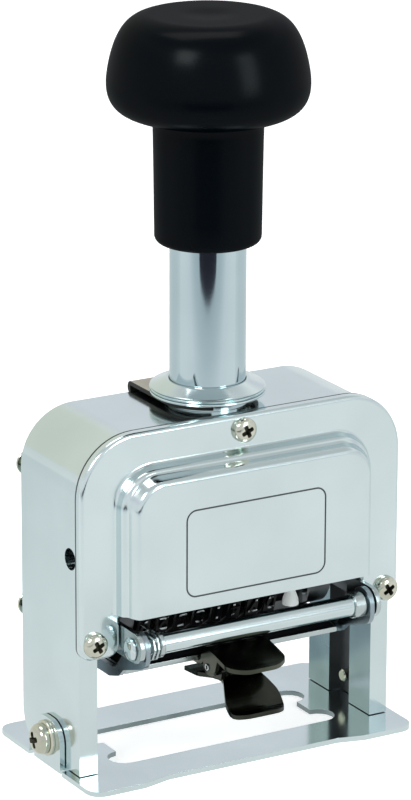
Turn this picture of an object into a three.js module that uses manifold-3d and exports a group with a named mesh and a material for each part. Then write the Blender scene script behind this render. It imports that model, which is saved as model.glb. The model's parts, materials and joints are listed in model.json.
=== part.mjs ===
// Automatic numbering machine: a hand stamp whose numbered wheels are inked and pressed by one push.
//
// Millimetres, +X to the right seen from the front, +Y to the back, +Z up.
// The base stands on z = 0 and the origin is below the middle of the whole machine's outline.
//
// The frame is an arch on a waisted foot plate. Inside it a carriage slides on four posts.
// The carriage hangs on the plunger tube, holds the number wheels on one axle, and swings the
// ink arm forward, out of the wheels' way, as it comes down.

import * as THREE from 'three';
import { mergeVertices } from 'three/addons/utils/BufferGeometryUtils.js';
import Module from 'manifold-3d';

const wasm = await Module();
wasm.setup();

// Fits used all over the machine
const runningGap = 0.3;
const bearingGap = 0.15;
const seatGap = 0.3;
const cutOverrun = 1;
const journalShare = 0.8;

// Facets round the tube and what fits on it
const roundSteps = 36;

// Housing: the cast arch
const housingDepth = 26.8;
const housingTop = 79.3;
const housingWall = 1.5;
const roofThickness = 2;
const shoulderRadius = 13;
const postWidth = 4.5;
const postDepth = 9;
const heelRadius = 8;
const footGap = 0.2;
const sideHoleRadius = 2.5;
const sideHoleSetback = 3.9;
const sideHoleHeight = 51.4;

// Foot plate
const baseThickness = 1.2;
const baseWidth = 83.7;
const baseDepth = 46.3;
const baseWaistDepth = 43;
const baseEdge = 0.45;
const baseEndLength = 13.35;
const baseFlareLength = 6.5;
const baseCornerRadius = 3.5;
const windowHalfWidth = 25.5;
const windowDepth = 20.9;
const windowBiteRadius = 3.75;
const earHalfWidth = 6.2;
const earHeight = 11.5;
const earCornerRadius = 5;
const earNotchWidth = 1.6;
const earNotchDepth = 2.2;
const earOffsetY = -0.5;

// Front cover: a pressed plate with a raised panel, open below the panel
const coverSideLap = 0.86;
const coverTopLap = 0.84;
const coverStandoff = 2.64;
const coverSheet = 1.2;
const coverBottom = 29.2;
const lobeWidth = 9;
const lobeCornerRadius = 3;
const coverMouthTop = 39.2;
const mouthCornerRadius = 2.5;
const panelSideMargin = 10.4;
const panelTop = 69.6;
const panelRise = 5.96;
const panelSpread = 3.1;
const panelCornerRadius = 6.5;
// Outward spread and height of the panel's pressed flank, from its foot to its face
const panelFlankShares = [[1, 0], [0.8, 0.12], [0.7, 0.42], [0.5, 0.5], [0.16, 0.86], [0, 1]];
const labelSideMargin = 11.7;
const labelBottom = 42.1;
const labelTop = 62.5;
const labelRadius = 2.6;
const labelGroove = 0.45;
const labelGrooveDepth = 0.25;
const bossRadius = 3.3;

// Rear cover: a flat plate inside the outline of the arch
const rearSheet = 1.2;
const rearInset = 0.9;
const rearBottom = 27;
const rearMouthTop = 36;
const rearMouthMargin = 10;
const rearNotchHalf = 13.2;
const rearNotchDepth = 7.2;

// Cover and foot screws
const screwRadius = 1.45;
const screwHoleRadius = 1.75;
const screwHeadRadius = 2.85;
const screwHeadHeight = 1.9;
const screwLength = 6.2;
const screwRecessWidth = 0.9;
const screwRecessSpan = 3;
const screwRecessDepth = 0.9;
const sideScrewInset = 2.5;
const sideScrewHeight = 33;
const topScrewDrop = 2.6;
const topScrewLength = 4.4;
const footScrewHeight = 6.6;
const footScrewRadius = 1.6;
const footScrewHeadRadius = 3.5;
const footScrewHeadHeight = 2.6;
const footWasherRadius = 4.1;
const footWasherThickness = 0.9;
const footScrewLength = 4.2;

// Plunger
const tubeRadius = 8.54;
const tubeBore = 7.2;
const tubeTop = 139;
const knobRadius = 22.42;
const knobWidestHeight = 152.2;
const knobTop = 167.3;
const knobDimpleRadius = 6;
const knobDimpleDepth = 0.7;
// Powers of the curves above and below the knob's widest place: across, then along the axis
const knobCrownShares = [7, 1.4];
const knobSkirtShares = [5.6, 2.5];
const sleeveBottom = 115.9;
const sleeveRadius = 11.9;
const sleeveTopRadius = 12.3;
const sleeveTop = 143.9;
const sleeveEdgeRadius = 1.6;

// Collar on the roof, and the lock plate that slides below it
const neckRadius = 9.4;
const collarRadius = 13.02;
const collarGrooveRadius = 12.3;
const collarGroove = 0.45;
const collarRimHeight = 1.7;
const collarConeHeight = 1.5;
const collarConeRadius = 9.4;
const lockPlateThickness = 1.2;
const lockPlateLift = 0.7;
const lockPlateHalfWidth = 11.4;
const lockPlateNose = 12.4;
const lockPlateReach = 16.2;
const lockLipDrop = 4.6;
const lockTravel = 2;
const lockCornerRadius = 3;

// Carriage
const carriageSheet = 1.5;
const carriageSideGap = 0.6;
const carriageHalfDepth = 9;
const carriageTop = 75.5;
const carriageTopThickness = 2;
const carriageShoulder = 2.2;
const carriageFlange = 3.6;
const carriageBottom = 29.5;
const carriageCornerRadius = 4;
const guideWidth = 3.3;
const guideBottom = 39.2;
const guideTop = 66;
const bridgeWidth = 3.2;
const bridgeThickness = 2;
const bridgeTop = 47.2;
const bridgeSeatRadius = 6.8;

// Number wheels
const wheelCount = 8;
const wheelRowEnds = 19.4;
const wheelGap = 0.4;
const wheelRowCentre = -4.3;
const wheelAxisY = -0.65;
const wheelAxisHeight = 35.1;
const wheelRadius = 9.5;
const wheelFaces = 10;
const numeralRise = 0.55;
const numeralMargin = 0.375;
const numeralLength = 3.6;
const ratchetWidth = 1;
const ratchetRadius = 7.3;
const ratchetToothDepth = 1.5;
const axleRadius = 3;
const axleHeadRadius = 4.4;
const axleHeadThickness = 0.25;
const spacerRadius = 4.6;
const detentFingerWidth = 0.6;
const detentBarHeight = 5;
const detentBarThickness = 1.6;
const detentBarY = 12;
const driveArmThickness = 1.2;
const driveArmReach = 9.6;
const driveArmHub = 4.4;
const driveArmCorner = 1.1;
const pawlRadius = 1.9;
const pawlHeight = 4.4;
const pawlNibRadius = 0.7;
const pawlNibHeight = 1.2;

// Ink arm and its pivot rod
const rodY = -20.8;
const rodHeight = 32.4;
const rodRadius = 2.35;
const rivetRadius = 2.6;
const rivetHeight = 1;
const bracketSheet = 1.2;
const bracketInset = 9.1;
const bracketFlange = 4.4;
const bracketEyeRadius = 4.3;
const bracketRearTop = 36.4;
const bracketRearBottom = 29.4;
const armSheet = 1.1;
const armEyeRadius = 3.8;
const armFloorWidth = 3.6;
const armBottom = 21.5;
const armShinY = -14.2;
const armShinHeight = 25;
const armHeelY = -7.6;
const armRear = 5.2;
const armFront = -12;
const springWire = 0.8;
const springCoilRadius = 3.15;
const springTurns = 2;
const springPitch = 1;
const springLegLength = 5;
const rodRingRadius = 2.95;
const rodRingWidth = 1.1;
const rodSleeveWidth = 2.8;

// Ink pad holder with its two finger blades
const traySideGap = 0.5;
const trayFloor = 0.8;
const trayBottom = 22.9;
const trayRimTop = 24.1;
const trayRim = 0.8;
const padTop = 25.3;
const padGap = 0.3;
const padCrown = 0.35;
const bladeSheet = 1;
const upperBladeRise = 26.3;
const upperBladeBend = -18.6;
const upperBladeShoulder = -24.6;
const upperBladeTip = -27.3;
const upperBladeTipHeight = 24.1;
const lowerBladeLeft = -8.2;
const lowerBladeRight = 5.6;
const lowerNeckLeft = -6.4;
const lowerNeckRight = 2.6;
const lowerNeckY = -18.2;
const lowerFlareY = -22.6;
const lowerBladeTip = -28.2;
const lowerBladeTipHeight = 13.6;
const clipCentre = -1.3;
const clipPinY = -15.9;
const clipPinHeight = 22.4;
const clipPinRadius = 0.8;
const clipEarHalf = 6.3;
const clipEarFront = -20.2;
const clipEarHeight = 22.9;
const clipTailRear = -9;
const clipTailHalf = 9.8;
const clipSpringRadius = 1.25;
const clipSpringWire = 0.5;
const clipSpringTurns = 4;
const clipSpringPitch = 1.1;

// Return spring inside the tube
const returnCoilRadius = 5.6;
const returnWire = 1.2;
const returnTurns = 14;

// Selector lever on the rear cover
const selectorPivotHeight = 58;
const selectorPivotX = 16;
const selectorLength = 17;
const selectorSheet = 1.4;
const selectorHubRadius = 4.4;
const selectorTipRadius = 2.6;
const selectorKnobRadius = 2;
const selectorKnobHeight = 3.2;

// Places worked out from the sizes above
const halfEnd = baseWidth / 2;
const baseFlareHalf = halfEnd - baseEndLength;
const baseWaistHalf = baseFlareHalf - baseFlareLength;
const earOuter = halfEnd - baseEdge;
const earInner = earOuter - baseThickness;
const halfWidth = earInner - footGap;
const halfDepth = housingDepth / 2;
const legBottom = baseThickness + footGap;
const roofUnderside = housingTop - roofThickness;
const postInner = halfWidth - postWidth;
const slotHalf = halfDepth - postDepth;
const lobeInnerHalf = halfWidth - lobeWidth;
const panelHalfWidth = halfWidth - panelSideMargin;
const labelHalfWidth = panelHalfWidth - labelSideMargin;
const rearMouthHalf = halfWidth - rearMouthMargin;
const carriageHalfWidth = postInner - carriageSideGap;
const bracketOuter = halfWidth - bracketInset;
const armOuter = bracketOuter - bracketSheet - seatGap;
const armInner = armOuter - armSheet;
const coverFront = -(halfDepth + coverStandoff);
const coverHalfWidth = halfWidth + coverSideLap;
const coverTop = housingTop + coverTopLap;
const panelFace = coverFront - panelRise;
const sideScrewX = halfWidth - sideScrewInset;
const topScrewHeight = housingTop - topScrewDrop;
const lockPlateBottom = housingTop + lockPlateLift;
const collarBottom = lockPlateBottom + lockPlateThickness + footGap;
const collarRimTop = collarBottom + collarRimHeight;
const carriageRoofBottom = carriageTop - carriageTopThickness;
const wheelInradius = wheelRadius - numeralRise;
const wheelPitch = (armInner * 2 - wheelRowEnds) / wheelCount;
const drumWidth = wheelPitch - ratchetWidth - wheelGap;
const numeralWidth = drumWidth - numeralMargin * 2;
const wheelRowLeft = wheelRowCentre - (wheelCount * wheelPitch) / 2;
const wheelRowRight = wheelRowLeft + wheelCount * wheelPitch;
const driveArmLeft = wheelRowRight + runningGap + 2 * pawlRadius + seatGap;
const trayHalfWidth = armInner - traySideGap;
const trayRear = armRear - armSheet - runningGap;
const coilOuterEnd = armInner - runningGap - springWire / 2;
const rodJournalRadius = rodRadius * journalShare;
const axleJournalRadius = axleRadius * journalShare;
const upperEarHalf = clipEarHalf + runningGap + bladeSheet;
const rearReach = baseDepth / 2;
const middleY = (rearReach + lowerBladeTip) / 2;

// Outlines and solids

// A closed outline through corners [x, y, radius], with each corner rounded by its own radius.
function filletedShape(corners) {
  const shape = new THREE.Shape();
  const count = corners.length;
  for (let i = 0; i < count; i += 1) {
    const [x, y, radius = 0] = corners[i];
    const [beforeX, beforeY] = corners[(i + count - 1) % count];
    const [afterX, afterY] = corners[(i + 1) % count];
    const corner = new THREE.Vector2(x, y);
    const back = new THREE.Vector2(beforeX - x, beforeY - y).normalize();
    const ahead = new THREE.Vector2(afterX - x, afterY - y).normalize();
    const first = i === 0;
    if (radius === 0) {
      if (first) shape.moveTo(x, y);
      else shape.lineTo(x, y);
      continue;
    }
    const half = Math.acos(THREE.MathUtils.clamp(back.dot(ahead), -1, 1)) / 2;
    const reach = radius / Math.tan(half);
    const start = corner.clone().addScaledVector(back, reach);
    const end = corner.clone().addScaledVector(ahead, reach);
    const bisector = back.clone().add(ahead).normalize();
    const centre = corner.clone().addScaledVector(bisector, radius / Math.sin(half));
    const clockwise = back.clone().negate().cross(ahead) < 0;
    if (first) shape.moveTo(start.x, start.y);
    else shape.lineTo(start.x, start.y);
    const startAngle = Math.atan2(start.y - centre.y, start.x - centre.x);
    const endAngle = Math.atan2(end.y - centre.y, end.x - centre.x);
    shape.absarc(centre.x, centre.y, radius, startAngle, endAngle, clockwise);
  }
  shape.closePath();
  return shape;
}

function rectangle(left, right, bottom, top, radius = 0) {
  const corners = [[left, bottom], [right, bottom], [right, top], [left, top]];
  return filletedShape(corners.map(([x, y]) => [x, y, radius]));
}

function circle(x, y, radius) {
  const shape = new THREE.Shape();
  shape.absarc(x, y, radius, 0, Math.PI * 2, false);
  return shape;
}

// Turns a shape drawn in (X, Z) into a slab from y = front to y = back.
function slabAlongY(shape, front, back, curveSegments = 4) {
  const depth = back - front;
  const geometry = new THREE.ExtrudeGeometry(shape, { depth, bevelEnabled: false, curveSegments });
  geometry.rotateX(Math.PI / 2);
  geometry.translate(0, back, 0);
  return geometry;
}

// Turns a shape drawn in (X, Y) into a slab from z = bottom to z = top.
function slabAlongZ(shape, bottom, top, curveSegments = 4) {
  const depth = top - bottom;
  const geometry = new THREE.ExtrudeGeometry(shape, { depth, bevelEnabled: false, curveSegments });
  geometry.translate(0, 0, bottom);
  return geometry;
}

// Turns a shape drawn in (Y, Z) into a slab from x = left to x = right.
const axesCycled = new THREE.Matrix4().makeBasis(
  new THREE.Vector3(0, 1, 0),
  new THREE.Vector3(0, 0, 1),
  new THREE.Vector3(1, 0, 0),
);

function slabAlongX(shape, left, right, curveSegments = 4) {
  const depth = right - left;
  const geometry = new THREE.ExtrudeGeometry(shape, { depth, bevelEnabled: false, curveSegments });
  geometry.applyMatrix4(axesCycled);
  geometry.translate(left, 0, 0);
  return geometry;
}

function box(left, right, front, back, bottom, top) {
  const geometry = new THREE.BoxGeometry(right - left, back - front, top - bottom);
  geometry.translate((left + right) / 2, (front + back) / 2, (bottom + top) / 2);
  return geometry;
}

// Revolves [radius, height] points about the Z axis.
function revolved(points, segments = 32) {
  const profile = points.map(([radius, height]) => new THREE.Vector2(radius, height));
  const geometry = new THREE.LatheGeometry(profile, segments);
  geometry.rotateX(Math.PI / 2);
  return geometry;
}

// Revolves [radius, place along X] points about the X axis.
function revolvedAboutX(points, segments = 16) {
  return revolved(points, segments).applyMatrix4(axesCycled);
}

function cylinder(radius, bottom, top, segments = 20) {
  return revolved([[0, bottom], [radius, bottom], [radius, top], [0, top]], segments);
}

function cylinderAboutX(radius, left, right, segments = 24) {
  return cylinder(radius, left, right, segments).applyMatrix4(axesCycled);
}

function cylinderAboutY(radius, front, back, segments = 24) {
  return cylinder(radius, -back, -front, segments).rotateX(Math.PI / 2);
}

// Joins shared vertices, drops triangles with no area and turns the faces outward.
function closed(geometry) {
  const bare = geometry.clone();
  bare.deleteAttribute('normal');
  bare.deleteAttribute('uv');
  const merged = mergeVertices(bare, 1e-5);
  const place = merged.getAttribute('position');
  const index = merged.getIndex().array;
  const kept = [];
  let volume = 0;
  const a = new THREE.Vector3();
  const b = new THREE.Vector3();
  const c = new THREE.Vector3();
  for (let i = 0; i < index.length; i += 3) {
    const [p, q, r] = [index[i], index[i + 1], index[i + 2]];
    if (p === q || q === r || r === p) continue;
    kept.push(p, q, r);
    a.fromBufferAttribute(place, p);
    b.fromBufferAttribute(place, q);
    c.fromBufferAttribute(place, r);
    volume += a.dot(b.cross(c));
  }
  if (volume < 0) kept.reverse();
  merged.setIndex(kept);
  return merged;
}

function toSolid(geometry) {
  const body = closed(geometry);
  const vertProperties = new Float32Array(body.getAttribute('position').array);
  const triVerts = new Uint32Array(body.getIndex().array);
  return new wasm.Manifold(new wasm.Mesh({ numProp: 3, vertProperties, triVerts }));
}

function toGeometry(solid) {
  const mesh = solid.getMesh();
  const geometry = new THREE.BufferGeometry();
  geometry.setAttribute('position', new THREE.BufferAttribute(new Float32Array(mesh.vertProperties), 3));
  geometry.setIndex(new THREE.BufferAttribute(new Uint32Array(mesh.triVerts), 1));
  return geometry;
}

// Joins the first list of geometries and cuts the second list from them.
function carved(joined, cuts = []) {
  let solid = toSolid(joined[0]);
  for (const geometry of joined.slice(1)) solid = solid.add(toSolid(geometry));
  for (const geometry of cuts) solid = solid.subtract(toSolid(geometry));
  return toGeometry(solid);
}

function overlapOf(first, second) {
  return toGeometry(toSolid(first).intersect(toSolid(second)));
}

function mirroredX(geometry) {
  return closed(geometry.clone().scale(-1, 1, 1));
}

// A closed skin over rings that have the same number of points, with a flat cap on each end.
function lofted(rings) {
  const size = rings[0].length;
  const positions = rings.flat().flatMap((point) => [point.x, point.y, point.z]);
  const index = [];
  for (let ring = 0; ring + 1 < rings.length; ring += 1) {
    for (let i = 0; i < size; i += 1) {
      const here = ring * size + i;
      const beside = ring * size + ((i + 1) % size);
      index.push(here, beside, here + size, beside, beside + size, here + size);
    }
  }
  const lastRing = (rings.length - 1) * size;
  for (let i = 1; i + 1 < size; i += 1) {
    index.push(0, i + 1, i);
    index.push(lastRing, lastRing + i, lastRing + i + 1);
  }
  const geometry = new THREE.BufferGeometry();
  geometry.setAttribute('position', new THREE.Float32BufferAttribute(positions, 3));
  geometry.setIndex(index);
  return closed(geometry);
}

// A sheet-metal strip in (Y, Z): the middle line is a smooth curve through the points.
function stripShape(points, thickness, divisions) {
  const curve = new THREE.SplineCurve(points.map(([y, z]) => new THREE.Vector2(y, z)));
  const upper = [];
  const lower = [];
  for (let i = 0; i <= divisions; i += 1) {
    const place = curve.getPoint(i / divisions);
    const run = curve.getTangent(i / divisions);
    const side = new THREE.Vector2(-run.y, run.x).multiplyScalar(thickness / 2);
    upper.push(place.clone().add(side));
    lower.push(place.clone().sub(side));
  }
  return new THREE.Shape([...upper, ...lower.reverse()]);
}

// A round wire along a list of points, closed at both ends.
function wire(points, radius, sides = 5) {
  const rings = [];
  let up = new THREE.Vector3();
  for (let i = 0; i < points.length; i += 1) {
    const before = points[Math.max(i - 1, 0)];
    const after = points[Math.min(i + 1, points.length - 1)];
    const run = after.clone().sub(before).normalize();
    if (i === 0) up.set(run.y, run.z, run.x);
    up = up.clone().addScaledVector(run, -up.dot(run)).normalize();
    const side = run.clone().cross(up);
    const ring = [];
    for (let k = 0; k < sides; k += 1) {
      const angle = (k / sides) * Math.PI * 2;
      const out = up.clone().multiplyScalar(Math.cos(angle)).addScaledVector(side, Math.sin(angle));
      ring.push(points[i].clone().addScaledVector(out, radius));
    }
    rings.push(ring);
  }
  return lofted(rings);
}

// The least gap between one stretch of a wire and the stretches more than half a turn along from it.
function leastGap(points, radius, stepsApart) {
  let least = Infinity;
  for (let i = 0; i < points.length; i += 1) {
    for (let k = i + stepsApart; k < points.length; k += 1) {
      least = Math.min(least, points[i].distanceTo(points[k]) - 2 * radius);
    }
  }
  return least;
}

const stepsPerTurn = 8;


function coilPoints(turns, radius, pitch) {
  const points = [];
  for (let i = 0; i <= turns * stepsPerTurn; i += 1) {
    const turned = i / stepsPerTurn;
    const angle = turned * Math.PI * 2;
    points.push(new THREE.Vector3(radius * Math.cos(angle), radius * Math.sin(angle), turned * pitch));
  }
  return points;
}

function reportCoil(name, points, radius) {
  const gap = leastGap(points, radius, Math.round(stepsPerTurn / 2) + 1);
  console.log(`${name}: least gap to itself ${gap.toFixed(2)} mm`);
}

// Finishes
const finishes = {
  chrome: { color: 0xd4dcde, roughness: 0.12, metalness: 1 },
  brightSteel: { color: 0xc4c9c8, roughness: 0.25, metalness: 1 },
  nickel: { color: 0xd8d2b4, roughness: 0.22, metalness: 1 },
  darkSteel: { color: 0x2b2a28, roughness: 0.3, metalness: 1 },
  lockSteel: { color: 0x6d6358, roughness: 0.35, metalness: 1 },
  blackPlastic: { color: 0x0b0c0e, roughness: 0.25, metalness: 0 },
  wheelEnamel: { color: 0x101010, roughness: 0.4, metalness: 0.2 },
  nylon: { color: 0xf0f0ec, roughness: 0.5, metalness: 0 },
  felt: { color: 0x16161a, roughness: 0.95, metalness: 0 },
};

function piece(name, geometry, finish) {
  const mesh = new THREE.Mesh(geometry, new THREE.MeshStandardMaterial(finishes[finish]));
  mesh.name = name;
  return mesh;
}

// Foot plate: a sheet with a window for the print, waisted between its ends, and an ear at each end
function basePlate() {
  const endDepth = baseDepth / 2;
  const waistDepth = baseWaistDepth / 2;
  const outline = filletedShape([
    [-halfEnd, -endDepth, baseCornerRadius],
    [-baseFlareHalf, -endDepth, baseCornerRadius],
    [-baseWaistHalf, -waistDepth, baseCornerRadius],
    [baseWaistHalf, -waistDepth, baseCornerRadius],
    [baseFlareHalf, -endDepth, baseCornerRadius],
    [halfEnd, -endDepth, baseCornerRadius],
    [halfEnd, endDepth, baseCornerRadius],
    [baseFlareHalf, endDepth, baseCornerRadius],
    [baseWaistHalf, waistDepth, baseCornerRadius],
    [-baseWaistHalf, waistDepth, baseCornerRadius],
    [-baseFlareHalf, endDepth, baseCornerRadius],
    [-halfEnd, endDepth, baseCornerRadius],
  ]);
  const plate = slabAlongZ(outline, 0, baseThickness, 2);
  const cuts = [];
  const under = -cutOverrun;
  const over = baseThickness + cutOverrun;
  const windowFront = wheelAxisY - windowDepth / 2;
  const windowBack = wheelAxisY + windowDepth / 2;
  cuts.push(box(-windowHalfWidth, windowHalfWidth, windowFront, windowBack, under, over));
  const joined = [plate];
  for (const side of [-1, 1]) {
    for (const end of [windowFront + windowBiteRadius, windowBack - windowBiteRadius]) {
      const bite = cylinder(windowBiteRadius, under, over, 16);
      bite.translate(side * windowHalfWidth, end, 0);
      cuts.push(bite);
    }
    for (const way of [-1, 1]) {
      const notchY = earOffsetY + way * (earHalfWidth + earNotchWidth / 2);
      const near = side * (halfEnd - earNotchDepth);
      const far = side * (halfEnd + cutOverrun);
      cuts.push(box(
        Math.min(near, far),
        Math.max(near, far),
        notchY - earNotchWidth / 2,
        notchY + earNotchWidth / 2,
        under,
        over,
      ));
    }
    const edgeNear = side * earOuter;
    const edgeFar = side * (halfEnd + cutOverrun);
    cuts.push(box(
      Math.min(edgeNear, edgeFar),
      Math.max(edgeNear, edgeFar),
      earOffsetY - earHalfWidth,
      earOffsetY + earHalfWidth,
      under,
      over,
    ));
    const earShape = filletedShape([
      [earOffsetY - earHalfWidth, 0],
      [earOffsetY + earHalfWidth, 0],
      [earOffsetY + earHalfWidth, earHeight, earCornerRadius],
      [earOffsetY - earHalfWidth, earHeight, earCornerRadius],
    ]);
    const ear = slabAlongX(earShape, side < 0 ? -earOuter : earInner, side < 0 ? -earInner : earOuter);
    joined.push(ear);
    const holeReach = earOuter + cutOverrun;
    const hole = cylinderAboutX(screwHoleRadius, side < 0 ? -holeReach : earInner - cutOverrun,
      side < 0 ? cutOverrun - earInner : holeReach, 16);
    hole.translate(0, earOffsetY, footScrewHeight);
    cuts.push(hole);
  }
  return carved(joined, cuts);
}

// Arch outline in (X, Z) with round shoulders, from its feet at the given height
function archOutline(halfSpan, foot, top, radius) {
  return filletedShape([
    [-halfSpan, foot],
    [halfSpan, foot],
    [halfSpan, top, radius],
    [-halfSpan, top, radius],
  ]);
}

// Housing: one cast arch with a post in each corner, open to the front, back and below
function housingShell() {
  const outline = archOutline(halfWidth, legBottom, housingTop, shoulderRadius);
  const outer = slabAlongY(outline, -halfDepth, halfDepth, 5);
  const hollowRadius = shoulderRadius - housingWall;
  const hollow = slabAlongY(
    archOutline(halfWidth - housingWall, legBottom - cutOverrun, roofUnderside, hollowRadius),
    -halfDepth - cutOverrun,
    halfDepth + cutOverrun,
    5,
  );
  const shell = carved([outer], [hollow]);
  const posts = [];
  const cuts = [];
  for (const [front, back] of [[-halfDepth, -slotHalf], [slotHalf, halfDepth]]) {
    const slab = slabAlongY(outline, front, back, 5);
    const between = box(-postInner, postInner, front - cutOverrun, back + cutOverrun,
      legBottom - cutOverrun, housingTop + cutOverrun);
    posts.push(carved([slab], [between]));
  }
  for (const side of [-1, 1]) {
    for (const end of [-1, 1]) {
      const hole = cylinderAboutY(screwHoleRadius, 0, screwLength, 12);
      const holeFront = end < 0 ? -halfDepth - cutOverrun / 2 : halfDepth + cutOverrun / 2 - screwLength;
      hole.translate(side * sideScrewX, holeFront, sideScrewHeight);
      cuts.push(hole);
    }
    const footReach = housingWall + cutOverrun;
    const footHole = cylinderAboutX(screwHoleRadius, -footReach, footReach, 16);
    footHole.translate(side * halfWidth, earOffsetY, footScrewHeight);
    cuts.push(footHole);
  }
  const sideHole = cylinderAboutX(sideHoleRadius, -halfWidth - cutOverrun, -postInner + cutOverrun, 20);
  sideHole.translate(0, sideHoleSetback - halfDepth, sideHoleHeight);
  cuts.push(sideHole);
  const neckHoleRadius = neckRadius + bearingGap;
  cuts.push(cylinder(neckHoleRadius, roofUnderside - cutOverrun, housingTop + cutOverrun, roundSteps));
  const heelCorner = filletedShape([
    [halfDepth - heelRadius, legBottom + heelRadius],
    [halfDepth - heelRadius, legBottom - cutOverrun],
    [halfDepth + cutOverrun, legBottom - cutOverrun],
    [halfDepth + cutOverrun, legBottom + heelRadius],
  ]);
  const heelBlock = slabAlongX(heelCorner, -halfWidth - cutOverrun, halfWidth + cutOverrun);
  const heelRound = cylinderAboutX(heelRadius, -halfWidth - 2 * cutOverrun, halfWidth + 2 * cutOverrun, 32);
  heelRound.translate(0, halfDepth - heelRadius, legBottom + heelRadius);
  cuts.push(carved([heelBlock], [heelRound]));
  return carved([shell, ...posts], cuts);
}

// One ring of the raised panel: a round-topped outline at a depth, spread outward from the face
function panelRing(spread, y, foot) {
  const half = panelHalfWidth + spread;
  const top = panelTop + spread;
  const radius = panelCornerRadius + spread;
  const steps = 6;
  const ring = [new THREE.Vector3(-half, y, foot)];
  for (const side of [-1, 1]) {
    for (let i = 0; i <= steps; i += 1) {
      const turn = (i / steps) * (Math.PI / 2);
      const angle = side < 0 ? Math.PI - turn : Math.PI / 2 - turn;
      const x = side * (half - radius) + radius * Math.cos(angle);
      ring.push(new THREE.Vector3(x, y, top - radius + radius * Math.sin(angle)));
    }
  }
  ring.push(new THREE.Vector3(half, y, foot));
  return ring;
}

function panelBlock(inset, foot, backY) {
  const rings = [panelRing(panelSpread - inset, backY, foot)];
  for (const [spreadShare, riseShare] of panelFlankShares) {
    const y = coverFront + inset - panelRise * riseShare;
    rings.push(panelRing(panelSpread * spreadShare - inset, y, foot));
  }
  return lofted(rings);
}

function coverOutline(inset) {
  const half = coverHalfWidth - inset;
  const inner = lobeInnerHalf + inset;
  const top = coverTop - inset;
  const foot = coverBottom + inset;
  const mouth = coverMouthTop + inset;
  const lobe = lobeCornerRadius - inset;
  const shoulder = shoulderRadius + coverSideLap - inset;
  return filletedShape([
    [-half, foot, lobe],
    [-inner, foot, lobe],
    [-inner, mouth, mouthCornerRadius],
    [inner, mouth, mouthCornerRadius],
    [inner, foot, lobe],
    [half, foot, lobe],
    [half, top, shoulder],
    [-half, top, shoulder],
  ]);
}

// Front cover: pressed sheet with a turned edge, a raised panel and a boss behind each screw
function frontCover() {
  const back = -halfDepth;
  const skin = slabAlongY(coverOutline(0), coverFront, back, 3);
  const inside = slabAlongY(coverOutline(coverSheet), coverFront + coverSheet, back + cutOverrun, 3);
  const raised = panelBlock(0, coverMouthTop, coverFront + coverSheet);
  const raisedInside = panelBlock(coverSheet, coverMouthTop - cutOverrun, coverFront + 2 * coverSheet);
  const shell = carved([skin, raised], [inside, raisedInside]);
  const bosses = [];
  const cuts = [];
  for (const [x, z] of frontScrewPlaces()) {
    const boss = cylinderAboutY(bossRadius, coverFront + coverSheet / 2, back, 16);
    const hole = cylinderAboutY(screwHoleRadius, coverFront - cutOverrun, back + cutOverrun, 16);
    boss.translate(x, 0, z);
    hole.translate(x, 0, z);
    bosses.push(boss);
    cuts.push(hole);
  }
  const labelOuter = rectangle(-labelHalfWidth, labelHalfWidth, labelBottom, labelTop, labelRadius);
  const labelInner = rectangle(labelGroove - labelHalfWidth, labelHalfWidth - labelGroove,
    labelBottom + labelGroove, labelTop - labelGroove, labelRadius - labelGroove);
  const grooveBack = panelFace + labelGrooveDepth;
  const groove = carved(
    [slabAlongY(labelOuter, panelFace - cutOverrun, grooveBack, 3)],
    [slabAlongY(labelInner, panelFace - 2 * cutOverrun, grooveBack + cutOverrun, 3)],
  );
  return carved([shell, ...bosses], [...cuts, groove]);
}

// Rear cover: a flat plate with a mouth below it and a notch for the lock plate's lip
function rearCover() {
  const half = halfWidth - rearInset;
  const top = housingTop - rearInset;
  const radius = shoulderRadius - rearInset;
  const outline = filletedShape([
    [-half, rearBottom, lobeCornerRadius],
    [-rearMouthHalf, rearBottom, lobeCornerRadius],
    [-rearMouthHalf, rearMouthTop, mouthCornerRadius],
    [rearMouthHalf, rearMouthTop, mouthCornerRadius],
    [rearMouthHalf, rearBottom, lobeCornerRadius],
    [half, rearBottom, lobeCornerRadius],
    [half, top, radius],
    [rearNotchHalf, top],
    [rearNotchHalf, top - rearNotchDepth, mouthCornerRadius],
    [-rearNotchHalf, top - rearNotchDepth, mouthCornerRadius],
    [-rearNotchHalf, top],
    [-half, top, radius],
  ]);
  const plate = slabAlongY(outline, halfDepth, halfDepth + rearSheet, 3);
  const holeFront = halfDepth - cutOverrun;
  const holeBack = halfDepth + rearSheet + cutOverrun;
  const cuts = rearScrewPlaces().map(([x, z]) => {
    const hole = cylinderAboutY(screwHoleRadius, holeFront, holeBack, 16);
    return hole.translate(x, 0, z);
  });
  const pivotHole = cylinderAboutY(screwHoleRadius, holeFront, holeBack, 16);
  cuts.push(pivotHole.translate(selectorPivotX, 0, selectorPivotHeight));
  return carved([plate], cuts);
}

function frontScrewPlaces() {
  return [[-sideScrewX, sideScrewHeight], [sideScrewX, sideScrewHeight], [0, topScrewHeight]];
}

function rearScrewPlaces() {
  const shoulder = housingTop - shoulderRadius;
  return [
    [-sideScrewX, sideScrewHeight],
    [sideScrewX, sideScrewHeight],
    [-sideScrewX, shoulder],
    [sideScrewX, shoulder],
  ];
}

// Pan-head screw with a cross recess, its head outward along +Z and its seat at z = 0
function panScrew(headRadius, headHeight, shankRadius, shankLength) {
  const rim = headHeight * 0.45;
  const body = revolved([
    [0, -shankLength],
    [shankRadius, -shankLength],
    [shankRadius, 0],
    [headRadius, 0],
    [headRadius, rim],
    [headRadius * 0.82, headHeight * 0.83],
    [headRadius * 0.45, headHeight],
    [0, headHeight],
  ], 12);
  const half = screwRecessWidth / 2;
  const span = screwRecessSpan / 2;
  const floor = headHeight - screwRecessDepth;
  const top = headHeight + cutOverrun;
  const upright = box(-half, half, -span, span, floor, top);
  const level = box(-span, span, -half, half, floor, top);
  return carved([body], [upright, level]);
}

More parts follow.
